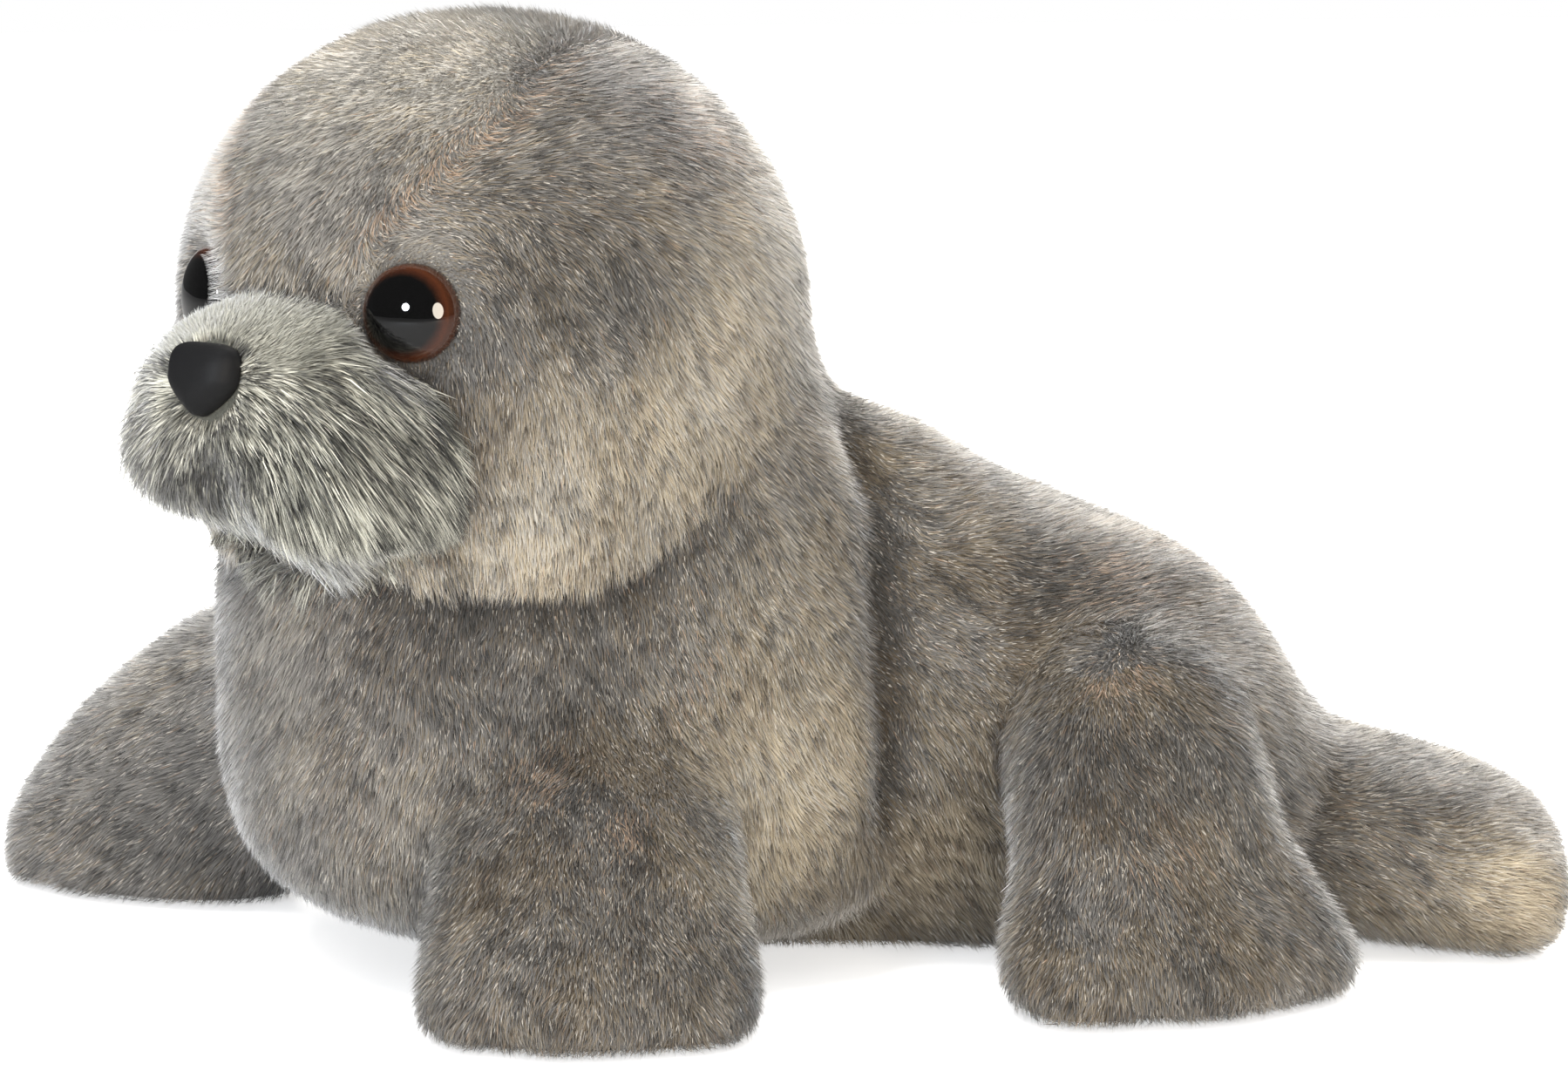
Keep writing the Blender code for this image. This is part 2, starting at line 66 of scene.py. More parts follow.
# The head's own directions: its left, the way it faces, and up
HEAD_TURN = math.radians(41.5)
HEAD_CENTRE = np.array((-0.003, -0.0765, 0.127))
HEAD_LEFT = np.array((math.cos(HEAD_TURN), math.sin(HEAD_TURN), 0.0))
HEAD_AHEAD = np.array((math.sin(HEAD_TURN), -math.cos(HEAD_TURN), 0.0))
UP = np.array((0.0, 0.0, 1.0))
MM = 0.001

# Fittings as they stand in the solids: half width, face above its own origin
EYE_RADIUS = 0.0092
EYE_DOME = 0.0060
EYE_RIM = 0.0012
# The dome makes the pupil look nearer to the muzzle
PUPIL_SHIFT = {"eye_left": 0.0009, "eye_right": 0.0017}
EYE_TILT = (0.0605 * math.sin(math.radians(26.5)), 0.0605 * math.cos(math.radians(26.5)),
            0.0055)
NOSE_HALF_WIDTH = 0.0079
NOSE_HALF_HEIGHT = 0.0068
NOSE_DOME = 0.0062
NOSE_TILT = math.radians(12)
FITTINGS = {"eye_left": EYE_RADIUS, "eye_right": EYE_RADIUS, "nose": NOSE_HALF_WIDTH}
# The pile comes a little under the nose's edge
PILE_CLEARANCE = {**FITTINGS, "nose": NOSE_HALF_WIDTH * 0.93}
FITTING_REACH = 0.02

# Where the parting between forehead and side runs: its angle over the head, in degrees
# up from straight ahead, and its distance from the middle of the head
PARTING_ANGLES = (-20, 0, 22, 33, 55, 100, 140, 180)
PARTING_WIDTHS = (0.010, 0.012, 0.020, 0.027, 0.033, 0.023, 0.017, 0.012)

# How steeply a fibre stands on its mat, in radians, and its upper half if it bends
PILE_RISE = 0.58
PILE_BEND = 0.58
# The long pile starts at this length beside the nose
SHORT_WHISKER = 0.0065
# Lowest that mat and loose ends come over the floor, and the mat's depth on a sole
MAT_FLOOR = 0.0010
TIP_FLOOR = 0.0012
SOLE_DEPTH = 0.0014
# How much darker the pile is painted where a seam or fold shelters it: painted shade
PAINTED_CREASE_SHADE = 0.26

# The solids grow by this much, so that they fuse into one skin
OVERLAP = 0.0003
SEAM_WIDTH = 0.0022

# How much slimmer the hind shank is than its solid
SHANK_SLIM = 0.0026
# How far each flipper's foot spreads where it stands, and how far its toes reach out
FOOT_SPREAD = {"front_flipper_left": (0.0016, 0.0028), "front_flipper_right": (0.0010, 0.0),
               "hind_flipper_left": (0.0046, 0.0024), "hind_flipper_right": (0.0012, 0.0)}

# Shoulder or hip, and toes, of each flipper, for the way its pile lies
FLIPPER_LINES = {
    "front_flipper_left": ((0.044, -0.066, 0.056), (0.078, -0.0705, 0.0)),
    "front_flipper_right": ((-0.040, -0.100, 0.056), (-0.080, -0.156, 0.0)),
    "hind_flipper_left": ((0.046, 0.040, 0.066), (0.070, 0.048, 0.0)),
    "hind_flipper_right": ((0.008, 0.066, 0.030), (0.020, 0.134, 0.008)),
}

# Where the fold between chest and rear body runs: heights, and how far back it is there
FOLD_HEIGHTS = (0.030, 0.040, 0.047, 0.061, 0.078, 0.090, 0.098, 0.108)
FOLD_PLACES = (-0.0055, -0.0050, -0.0050, -0.0060, -0.0058, -0.0048, -0.0075, -0.0105)
FOLD_WIDTH = 0.0034
# Its depth as a share of a seam's, and how far the bank before it stands out
FOLD_PULL = 1.3
BANK_HEIGHT = 0.0014

# Where the back stands up behind the neck: place, reach and height in millimetres
HUMP = ((4, 4, 103), 16, 4.2)

# Patches of tone, mostly the dyed fabric's own pattern: place and reach in millimetres, and
# tone from 0 dark to 1 cream. The head's are in its own directions, and stand on both of its
# sides. One dark patch on the chest is painted shade under the head's hem
HEAD_PATCHES = (
    ((14, 43, 41), 24, 0.84), ((4, 56, 20), 22, 0.68), ((12, 15, 55), 28, 0.93),
    ((0, -12, 57), 22, 0.60), ((16, 24, 53), 18, 1.15), ((32, 44, 22), 14, 0.52),
    ((41, 6, 45), 21, 0.12), ((48, 22, 30), 24, 0.45), ((55, -16, 19), 22, 0.96),
    ((50, 30, 6), 17, 0.38), ((44, 42, -4), 18, 0.32), ((47, 35, -33), 20, 0.74),
    ((57, 18, -20), 21, 0.80), ((60, -1, -4), 19, 0.80), ((56, -20, 10), 17, 0.70),
    ((0, -56, -20), 30, 0.50), ((50, 22, -44), 20, 0.68), ((22, 48, -50), 22, 0.80),
    ((50, -22, -22), 16, 0.60), ((14, 43, 20), 16, 0.62), ((41, 3, 44), 15, 0.08),
)
BODY_DYE_AND_SHADE_PATCHES = (
    ((30, -120, 66), 30, 0.59), ((41, -110, 43), 24, 0.60), ((-30, -122, 60), 30, 0.50),
    ((36, -21, 86), 20, 0.60), ((43, -21, 57), 20, 0.62), ((47, -26, 36), 21, 0.94),
    # The first patch on this line is painted shade on the chest under the head's hem
    ((46, -98, 70), 13, 0.30), ((52, -62, 70), 15, 0.34), ((-56, -30, 45), 24, 0.70),
    ((20, -6, 9), 24, 0.57), ((31, 8, 20), 20, 0.52), ((-40, 10, 15), 30, 0.60),
    ((10, 2, 98), 16, 0.56), ((30, 22, 78), 16, 0.27), ((36, 7, 58), 18, 0.44),
    ((39, 54, 68), 18, 0.27), ((31, 39, 77), 14, 0.12), ((0, 40, 90), 22, 0.44),
    ((0, -60, 4), 50, 0.60), ((57, -71, 53), 8, 0.38), ((75, -69, 32), 18, 0.32),
    ((86, -70, 6), 16, 0.39), ((70, 33, 44), 18, 0.28), ((79, 44, 10), 18, 0.41),
    ((34, 98, 36), 22, 0.20), ((45, 112, 16), 15, 0.92), ((20, 120, 6), 26, 0.58),
    ((-49, -137, 51), 20, 0.57), ((-64, -161, 10), 22, 0.40), ((-41, -129, 12), 18, 0.40),
    ((66, -46, 26), 10, 0.75),
)

# Where the grey turns yellowish, in the same way, from 0 cool to 1 warm
HEAD_WARMTH = (
    ((0, 50, 30), 30, 0.05), ((50, 20, 25), 30, 0.30), ((50, 30, -35), 26, 0.62),
    ((58, 0, -12), 24, 0.62), ((55, -20, 15), 16, 0.30),
)
BODY_WARMTH = (
    ((10, -125, 50), 48, 0.0), ((-55, -145, 30), 45, 0.0), ((45, -24, 45), 26, 0.75),
    ((30, 0, 10), 30, 1.0), ((40, 12, 55), 20, 0.60), ((79, 44, 8), 20, 0.55),
    ((44, 112, 14), 24, 1.0), ((34, 98, 36), 18, 0.2),
)
# Where tan fibres are mixed in, in the same way, with their share
TAN_PATCHES = (
    ((58, 29, 62), 3.4, 0.60), ((59, 36, 65), 4, 0.55), ((62, -76, 50), 6, 0.35),
    ((70, -62, 40), 4, 0.45), ((31, 39, 78), 9, 0.35), ((70, 40, 30), 8, 0.22),
    ((30, -118, 84), 6, 0.30), ((24, -40, 166), 14, 0.35), ((-40, 30, 50), 14, 0.30),
    ((42, -46, 60), 8, 0.30), ((12, 60, 74), 12, 0.25),
)

# Cool grey fibres lie from 0 to 0.38 of the map, warm ones to 0.78, tan ones above 0.80
PILE_TONES = ((0.00, "#31302e"), (0.08, "#504e4b"), (0.17, "#757370"), (0.23, "#908d87"),
              (0.29, "#aca89f"), (0.38, "#d8d3c9"),
              (0.40, "#362f26"), (0.48, "#574d40"), (0.57, "#7c7160"), (0.63, "#968b77"),
              (0.69, "#b0a48e"), (0.78, "#dccfb5"), (0.80, "#5f4e42"), (1.00, "#c4a98f"))
COOL, WARM, TAN = (0.0, 0.37), (0.41, 0.37), (0.81, 0.18)
# Fibres of one tone lie up to 0.70, those with a dark tip above 0.73
TIPPED = 0.73
MUZZLE_TONES = ((0.00, "#171613"), (0.06, "#3a3a35"), (0.25, "#6c6c63"), (0.50, "#9f9e92"),
                (0.70, "#cecdc0"), (0.75, "#7a7970"), (1.00, "#bab9ac"))

# Lamps round the seal: place, width, watts, colour
LAMPS = (("front_lamp", (0.96, -0.78, 0.36), 0.18, 7.0, "#f0f6ff"),
         ("side_lamp", (1.22, 0.17, 0.30), 0.50, 7.0, "#fff4e4"),
         ("top_lamp", (0.10, -0.40, 1.30), 0.90, 24.0, "#ffffff"),
         ("back_lamp", (-0.80, 0.50, 1.00), 0.80, 24.0, "#fffaf2"))
LAMP_TARGET = (0.0, -0.03, 0.09)
# The floor's own light towards the camera, and how bright floor and sky are when mirrored
FLOOR_GLOW = 0.62
FLOOR_MIRRORED = 0.20
SKY_MIRRORED = 0.06


def linear(hexadecimal):
    """Linear colour of an sRGB hex value."""
    values = [int(hexadecimal[i:i + 2], 16) / 255 for i in (1, 3, 5)]
    return tuple(v / 12.92 if v <= 0.04045 else ((v + 0.055) / 1.055)**2.4
                 for v in values)


def length_property(name, about, default, **limits):
    return FloatProperty(name=name, description=about, default=default, unit='LENGTH',
                         **limits)


def colour_property(name, about, shade):
    return FloatVectorProperty(name=name, description=about, subtype='COLOR', size=3,
                               default=linear(shade))


class SealSizes(bpy.types.PropertyGroup):
    """Sizes of the pile and of the stuffed form."""
    stuffing_detail: length_property(
        "Stuffing detail", "Size of the cells that the soft form is built of", 0.0022,
        min=0.0015)
    pile_depth: length_property(
        "Pile depth", "From the closed mat of fibres to their loose tips", 0.0017)
    pile_length: length_property(
        "Pile length", "Length of a fibre of the body's pile", 0.0038)
    fibre_width: length_property(
        "Fibre width", "Widest part of a fibre or a lock of fibres", 0.00023)
    seam_pull: length_property(
        "Seam pull", "How far the thread pulls a seam into the stuffing", 0.0022)
    muzzle_length: length_property(
        "Muzzle pile length", "Length of the longest fibres on the muzzle", 0.0140)
    bridge_length: length_property(
        "Bridge pile length", "Length of the clipped pile on the bridge", 0.0036)


class SealCounts(bpy.types.PropertyGroup):
    """How many fibres each piece carries."""
    head: IntProperty(name="Head", default=190000, description="Fibres on the head")
    torso: IntProperty(name="Torso", default=150000,
                       description="Fibres in each of the torso's two coats")
    flipper: IntProperty(name="Flipper", default=48000, description="Fibres on each flipper")
    muzzle_bent: IntProperty(name="Muzzle, bent", default=45000,
                             description="Bent fibres on the muzzle")
    muzzle_straight: IntProperty(name="Muzzle, straight", default=24000,
                                 description="Straight fibres on the muzzle")


class SealColours(bpy.types.PropertyGroup):
    """Colours of the trim and the studio."""
    iris: colour_property("Iris", "Brown ring of an eye", "#2c150b")
    pupil: colour_property("Pupil", "Black middle of an eye", "#040404")
    nose: colour_property("Nose", "Moulded nose", "#151516")
    washer: colour_property("Washer", "Lock washers", "#dcdcd8")
    floor: colour_property("Floor", "Plain floor", "#f4f4f4")


def add_node(tree, kind, inputs=None, **settings):
    """Add a shader node with its settings; an input is a value or the socket that feeds
    it."""
    made = tree.nodes.new("ShaderNode" + kind)
    for name, value in settings.items():
        setattr(made, name, value)
    for name, value in (inputs or {}).items():
        if isinstance(value, bpy.types.NodeSocket):
            tree.links.new(value, made.inputs[name])
        else:
            made.inputs[name].default_value = value
    return made


def new_material(name):
    """Empty node material and its tree."""
    made = bpy.data.materials.new(name)
    made.use_nodes = True
    made.node_tree.nodes.clear()
    return made, made.node_tree


def set_ramp(ramp, stops):
    """Give a colour ramp its stops, each a place and a linear colour or sRGB hex value."""
    elements = ramp.color_ramp.elements
    while len(elements) > 1:
        elements.remove(elements[-1])
    for number, (place, shade) in enumerate(stops):
        element = elements[0] if number == 0 else elements.new(place)
        element.position = place
        element.color = (*(linear(shade) if isinstance(shade, str) else shade), 1.0)


def unit(vectors):
    """Vectors at length 1."""
    return vectors / np.maximum(np.linalg.norm(vectors, axis=-1, keepdims=True), 1e-12)


def ease(low, high, values):
    """0 at low, 1 at high and smooth between; high may be the smaller one."""
    t = np.clip((values - low) / (high - low), 0.0, 1.0)
    return t * t * (3 - 2 * t)


def ripple(points, wavelength, seed, waves=14):
    """Smooth random field of about unit spread, with features of a wavelength's size."""
    rng = np.random.default_rng(seed)
    ways = unit(rng.normal(size=(waves, 3)))
    ways *= (2 * math.pi / wavelength * rng.uniform(0.6, 1.5, (waves, 1)))
    return np.sin(points @ ways.T + rng.uniform(0, 6.28, waves)).sum(1) * math.sqrt(2 / waves)


def ripple_vector(points, wavelength, seed):
    """Three separate ripples, one for each axis."""
    return np.stack([ripple(points, wavelength, seed + k) for k in range(3)], 1)


def in_head(points):
    """Points in the head's own directions: left, ahead, up."""
    away = points - HEAD_CENTRE
    return np.stack((away @ HEAD_LEFT, away @ HEAD_AHEAD, away[:, 2]), 1)


def from_head(vectors):
    """Vectors given in the head's own directions, turned into the frame's."""
    return (vectors[:, :1] * HEAD_LEFT + vectors[:, 1:2] * HEAD_AHEAD
            + vectors[:, 2:] * UP)


def node_arrays(name):
    """A solid's points and triangles."""
    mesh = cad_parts[name].data
    mesh.calc_loop_triangles()
    points = np.empty(len(mesh.vertices) * 3)
    mesh.vertices.foreach_get("co", points)
    triangles = np.empty(len(mesh.loop_triangles) * 3, np.int32)
    mesh.loop_triangles.foreach_get("vertices", triangles)
    return points.reshape(-1, 3), triangles.reshape(-1, 3)


def point_normals(points, triangles):
    """Normals at the points, weighted by the area round each."""
    a, b, c = (points[triangles[:, k]] for k in range(3))
    faces = np.cross(b - a, c - a)
    total = np.zeros_like(points)
    for k in range(3):
        for axis in range(3):
            total[:, axis] += np.bincount(triangles[:, k], faces[:, axis], len(points))
    return unit(total)


def make_mesh(name, points, faces):
    """Mesh from arrays, where all faces have the same number of corners."""
    mesh = bpy.data.meshes.new(name)
    corners = faces.shape[1]
    mesh.vertices.add(len(points))
    mesh.vertices.foreach_set("co", np.ascontiguousarray(points, np.float32).ravel())
    mesh.loops.add(faces.size)
    mesh.loops.foreach_set("vertex_index", np.ascontiguousarray(faces, np.int32).ravel())
    mesh.polygons.add(len(faces))
    mesh.polygons.foreach_set("loop_start", np.arange(len(faces), dtype=np.int32) * corners)
    mesh.update(calc_edges=True)
    return mesh


def map_strands(mesh, uv):
    """Write the fibre map twice: "Strand" feeds the materials."""
    for label in ("Strand", "OFBake"):
        layer = mesh.uv_layers.new(name=label)
        layer.uv.foreach_set("vector", np.ascontiguousarray(uv, np.float32).ravel())


def add_object(name, mesh, made):
    """Put a mesh in the scene in one material."""
    mesh.materials.append(made)
    item = bpy.data.objects.new(name, mesh)
    bpy.context.scene.collection.objects.link(item)
    return item


def biggest_island(count, faces):
    """Which points belong to the largest connected part."""
    edges = np.concatenate([faces[:, [k, (k + 1) % faces.shape[1]]]
                            for k in range(faces.shape[1])])
    label = np.arange(count)
    while True:
        low = np.minimum(label[edges[:, 0]], label[edges[:, 1]])
        new = label.copy()
        np.minimum.at(new, edges[:, 0], low)
        np.minimum.at(new, edges[:, 1], low)
        new = new[new]
        if (new == label).all():
            break
        label = new
    return label == np.bincount(label).argmax()


def keep_points(keep, points, faces):
    """The kept points and the faces that only use those."""
    index = np.cumsum(keep) - 1
    return points[keep], index[faces[keep[faces].all(1)]]


def relax(points, faces, rounds, share):
    """Move each point towards the middle of its neighbours."""
    corners = faces.shape[1]
    a = np.concatenate([faces[:, k] for k in range(corners)])
    b = np.concatenate([faces[:, (k + 1) % corners] for k in range(corners)])
    both, other = np.concatenate((a, b)), np.concatenate((b, a))
    degree = np.maximum(np.bincount(both, minlength=len(points)), 1)[:, None]
    for _ in range(rounds):
        mean = np.stack([np.bincount(both, points[other, k], len(points))
                         for k in range(3)], 1) / degree
        points = points + (mean - points) * share
    return points


def fitting_frame(name):
    """Origin and outward direction of an eye or the nose, from its solid."""
    points, _ = node_arrays(name)
    if name == "nose":
        ahead = np.array((0.0, math.cos(NOSE_TILT), math.sin(NOSE_TILT)))
        dome = NOSE_DOME
    else:
        side = 1 if name == "eye_left" else -1
        ahead = unit(np.array((side * EYE_TILT[0], EYE_TILT[1], EYE_TILT[2])))
        dome = EYE_DOME
    way = ahead[0] * HEAD_LEFT + ahead[1] * HEAD_AHEAD + ahead[2] * UP
    middle = (points.min(0) + points.max(0)) / 2
    top = points[(points @ way).argmax()]
    if name == "nose":
        top = middle - way * ((middle - top) @ way)
    return top - way * dome, way


def beside_axis(points, origin, way):
    """Height along a fitting's axis, distance from it, and the way out from it."""
    away = points - origin
    height = away @ way
    out = away - height[:, None] * way
    reach = np.linalg.norm(out, axis=1)
    return height, reach, out / np.maximum(reach, 1e-9)[:, None]


# The pile's surface and the mat under it, both with their outward directions, the faces,
# each point's node, how sheltered it lies and how close to a seam
Skin = namedtuple("Skin", "surface outward mat mat_outward faces owner shelter seam")


def fused_skin(cell_size):
    """All solids fused into one closed skin of even cells: its points and quads."""
    points, faces, start = [], [], 0
    for name in SOFT_NODES + TRIM_NODES:
        node_points, node_faces = node_arrays(name)
        if name in SOFT_NODES:
            node_points = node_points + point_normals(node_points, node_faces) * OVERLAP
        points.append(node_points)
        faces.append(node_faces + start)
        start += len(node_points)
    mesh = make_mesh("stuffed_form", np.concatenate(points), np.concatenate(faces))
    item = bpy.data.objects.new("stuffed_form", mesh)
    bpy.context.scene.collection.objects.link(item)
    cells = item.modifiers.new("Cells", 'REMESH')
    cells.mode = 'VOXEL'
    cells.voxel_size = cell_size
    bpy.context.view_layer.update()
    built = item.evaluated_get(bpy.context.evaluated_depsgraph_get()).to_mesh()
    points = np.empty(len(built.vertices) * 3)
    built.vertices.foreach_get("co", points)
    points = points.reshape(-1, 3)
    quads = np.empty(len(built.loops), np.int32)
    built.loops.foreach_get("vertex_index", quads)
    quads = quads.reshape(-1, 4)
    bpy.data.objects.remove(item)
    return keep_points(biggest_island(len(points), quads), points, quads)


@lru_cache(maxsize=1)
def stuffed_form():
    """The soft nodes as one skin, with its seams and its fold pressed in."""
    sizes = bpy.context.scene.seal_sizes
    points, quads = fused_skin(sizes.stuffing_detail)
    points = relax(points, quads, 8, 0.5)
    for name, radius in FITTINGS.items():
        origin, way = fitting_frame(name)
        height, reach, _ = beside_axis(points, origin, way)
        flat = (1 - ease(radius, radius * 1.35, reach)) * (abs(height) < FITTING_REACH)
        points = points - way * (height * flat)[:, None]
    triangles = np.concatenate((quads[:, [0, 1, 2]], quads[:, [0, 2, 3]]))
    owner, second, gap = owners(points)
    points = blend_shoulders(points, quads, owner, second, gap)
    seam = np.exp(-(gap / SEAM_WIDTH)**2)
    normals = point_normals(points, triangles)
    place, reach, height = HUMP
    points = points + normals * (height * MM * nearness(points, place, reach))[:, None]
    fold = relax(points, quads, 30, 0.5) - points
    fold = ease(0.0006, 0.0040, (fold * normals).sum(1))
    # Shelter pulls seams and the fold into the stuffing, and the pile there is painted darker by
    # it: painted shade
    shelter = seam_weight(points, owner, second) * seam
    shelter = np.maximum(shelter, np.where(owner == TORSO, 0.8, 0.2) * fold)
    crease, bank = body_fold(points) * (owner == TORSO)
    shelter = np.maximum(shelter, FOLD_PULL * crease)
    points = points - normals * (sizes.seam_pull * shelter - BANK_HEIGHT * bank)[:, None]
    points = spread_feet(points, owner)
    points = trim_chin(relax(points, quads, 2, 0.4), owner)
    normals = point_normals(points, triangles)
    depth = pile_depth(points, normals, (owner == MUZZLE) * (1 - seam), sizes)
    mat = relax(points - normals * depth[:, None], quads, 3, 0.4)
    mat[:, 2] = np.maximum(mat[:, 2], MAT_FLOOR)
    return Skin(points, normals, mat, point_normals(mat, triangles), triangles, owner,
                shelter, seam)


def owners(points):
    """The node that each point belongs to, the next one, and how much further that is."""
    gaps = []
    for name in SOFT_NODES:
        node_points, node_faces = node_arrays(name)
        tree = BVHTree.FromPolygons(node_points.tolist(), node_faces.tolist())
        gaps.append([tree.find_nearest(p)[3] for p in points])
    gaps = np.array(gaps)
    order = gaps.argsort(axis=0)
    gaps.sort(axis=0)
    return order[0], order[1], gaps[1] - gaps[0]


def nape_share(points):
    """1 behind the jaw, where the head runs into the neck, 0 round the front hem."""
    return ease(-0.054, -0.036, points[:, 1])


def blend_shoulders(points, quads, owner, second, gap):
    """Let the round top of each flipper run into the body, and the head into the nape."""
    joined = ((owner >= FIRST_FLIPPER) & (second == TORSO)) | (
        (owner == TORSO) & (second >= FIRST_FLIPPER))
    share = joined * np.exp(-(gap / 0.015)**2) * ease(0.034, 0.050, points[:, 2])
    nape = ((owner == HEAD) & (second == TORSO)) | ((owner == TORSO) & (second == HEAD))
    share = np.maximum(share, nape * np.exp(-(gap / 0.014)**2) * nape_share(points))
    for _ in range(5):
        points = points + (relax(points, quads, 18, 0.5) - points) * share[:, None]
    return points


def seam_weight(points, owner, second):
    """How far a piece gives way to its neighbour at a seam: the chest under the head
    most, a flipper's round top not at all."""
    upper = (second == HEAD) | (second == MUZZLE)
    leg = ((owner == HIND_LEFT) | (second == HIND_LEFT)) * ease(0.036, 0.024, points[:, 1])
    low = ease(0.050, 0.030, points[:, 2] - 0.016 * leg)
    open_nape = 1 - nape_share(points)
    bridge = ease(-0.020, -0.008, points[:, 2] - HEAD_CENTRE[2])
    weight = np.where(owner == TORSO, 0.7 + 0.9 * leg, 0.1) * low
    weight = np.where((owner == TORSO) & upper, 1.3 * open_nape, weight)
    weight = np.where((owner == HEAD) & (second == MUZZLE), 0.7 + 0.5 * bridge, weight)
    weight = np.where((owner == HEAD) & (second == TORSO), 0.15 * open_nape, weight)
    return np.where(owner == MUZZLE, 0.10 + 0.25 * bridge, weight)


def body_fold(points):
    """How deep each point lies in the fold between chest and rear body, and how much it
    belongs to the bank before it, both from 0 to 1."""
    behind = points[:, 1] - np.interp(points[:, 2], FOLD_HEIGHTS, FOLD_PLACES)
    ends = ease(0.022, 0.038, points[:, 2]) * ease(0.114, 0.102, points[:, 2])
    ends = ends * (0.55 + 0.45 * ease(-0.010, 0.020, points[:, 0]))
    return (np.exp(-(behind / FOLD_WIDTH)**2) * ends,
            np.exp(-((behind + 0.0085) / 0.0050)**2) * ends)


def spread_feet(points, owner):
    """Let each flipper's end bulge where it carries weight, and slim the hind shank."""
    points = points.copy()
    for name, (amount, outward) in FOOT_SPREAD.items():
        mine = owner == SOFT_NODES.index(name)
        spot = points[mine]
        out = unit((spot - np.array(FLIPPER_LINES[name][1])) * (1.0, 1.0, 0.0))
        low = ease(0.030, 0.008, spot[:, 2]) * (
            0.25 + 0.75 * ease(-0.001, 0.008, spot[:, 2]))
        points[mine] = spot + (out * amount + np.array((outward, 0, 0))) * low[:, None]
    mine = owner == HIND_LEFT
    spot = points[mine]
    slim = ease(0.024, 0.034, spot[:, 2]) * ease(0.062, 0.050, spot[:, 2])
    slim *= ease(0.056, 0.068, spot[:, 1])
    points[mine] = spot - np.outer(slim * SHANK_SLIM, (0.0, 1.0, 0.0))
    return points


def trim_chin(points, owner):
    """Draw in the muzzle's underside and its far lower corner, where the pile is clipped
    close, and slim its far side."""
    left, ahead, up = in_head(points).T
    low = ease(-0.024, -0.044, up) * ease(0.046, 0.060, ahead)
    low = low * ease(0.030, -0.020, left)
    move = np.outer(low, 0.0045 * UP - 0.0030 * HEAD_AHEAD)
    mine = owner == MUZZLE
    corner = ease(-0.016, -0.040, up) * ease(0.014, -0.014, left) * mine
    move += np.outer(corner * 0.0082, 0.78 * HEAD_LEFT - 0.62 * HEAD_AHEAD)
    near = ease(0.004, 0.022, left) * ease(-0.026, -0.044, up) * mine
    move += np.outer(near, 0.0034 * UP - 0.0010 * HEAD_LEFT)
    side = ease(-0.022, -0.032, left) * ease(0.046, 0.055, ahead)
    return points + move + np.outer(side * ease(0.0, -0.02, up) * 0.0025, HEAD_LEFT)


def pile_depth(points, normals, muzzle, sizes):
    """How far the mat lies below the pile's surface: deep in the muzzle's long pile, next
    to nothing round eyes and nose."""
    bridge = bridge_share(points, normals)
    depth = sizes.pile_depth * (1 + 0.9 * muzzle * (1 - bridge))
    for name, radius in FITTINGS.items():
        _, reach, _ = beside_axis(points, *fitting_frame(name))
        depth = depth * ease(radius * 1.02, radius * 1.9, reach)
    sole = (points[:, 2] < 0.004) & (normals[:, 2] < -0.6)
    return np.where(sole, SOLE_DEPTH, depth)


def bridge_share(points, normals):
    """1 on the clipped bridge above the nose, 0 on the long pile beside it."""
    local = in_head(points)
    inside = ease(0.022, 0.016, abs(local[:, 0])) * ease(-0.014, -0.006, local[:, 2])
    return inside * ease(0.30, 0.55, normals[:, 2]) * (local[:, 1] > 0.04)


def parting_width(local):
    """Distance of the parting from the head's middle, at points in its own directions."""
    angle = np.degrees(np.arctan2(local[:, 2], local[:, 1]))
    angle = np.where(angle < -60, angle + 360, angle)
    return np.interp(angle, PARTING_ANGLES, PARTING_WIDTHS)


def head_flow(points):
    """Forward and down over the forehead, back and down on the sides."""
    local = in_head(points)
    side = np.tanh(local[:, 0] / 0.006)
    beyond = abs(local[:, 0]) - parting_width(local)
    middle = 1 - ease(-0.006, 0.003, beyond)
    middle *= ease(-0.060, -0.034, local[:, 1])
    spread = ease(0.0, 0.030, beyond)
    low = ease(0.0, -0.030, local[:, 2])
    ahead = np.stack((0.10 * local[:, 0] / 0.03, 0.9 * local[:, 2] / 0.06,
                      -0.35 - local[:, 1] / 0.06), 1)
    back = np.stack((side * 1.1 * (1 - spread), -(0.80 - 0.35 * spread) * (1 - 0.75 * low),
                     -(0.30 + 0.8 * spread + 0.6 * low)), 1)
    rear = ease(0.0, -0.035, local[:, 1])
    back[:, 1] *= 1 - 0.7 * rear
    back[:, 2] -= 0.6 * rear
    return from_head(unit(ahead) * middle[:, None] + unit(back) * (1 - middle)[:, None])


def muzzle_flow(points, normals):
    """Away from the nose, more and more downward on the sides."""
    origin, _ = fitting_frame("nose")
    local, nose = in_head(points), in_head(origin[None])[0]
    away = local - nose
    reach = np.linalg.norm(away, axis=1)
    bridge = bridge_share(points, normals)
    flow = unit(away)
    flow[:, 2] -= 1.7 * ease(0.006, 0.028, reach)
    flow[:, 1] -= 0.25 + 0.9 * ease(-0.018, -0.042, local[:, 2])
    flow[:, 0] += 0.7 * ease(-0.018, -0.042, local[:, 2]) * ease(0.010, -0.016, local[:, 0])
    over = unit(away * (1.0, 1.0, 0.3))
    over[:, 2] += 0.2
    return from_head(flow * (1 - bridge)[:, None] + over * bridge[:, None])


def torso_flow(points):
    """Down the chest, back along the rear body."""
    x, y, z = points.T
    rear = ease(-0.012, 0.010, y)
    chest = np.stack((0.1 * x / 0.05, 0.45 * ease(-0.06, 0.0, y) - 0.05,
                      -np.ones_like(z)), 1)
    along = np.stack((0.15 * x / 0.05, np.full_like(z, 0.85),
                      -0.30 - 0.5 * ease(0.09, 0.03, z)), 1)
    return chest * (1 - rear)[:, None] + along * rear[:, None]


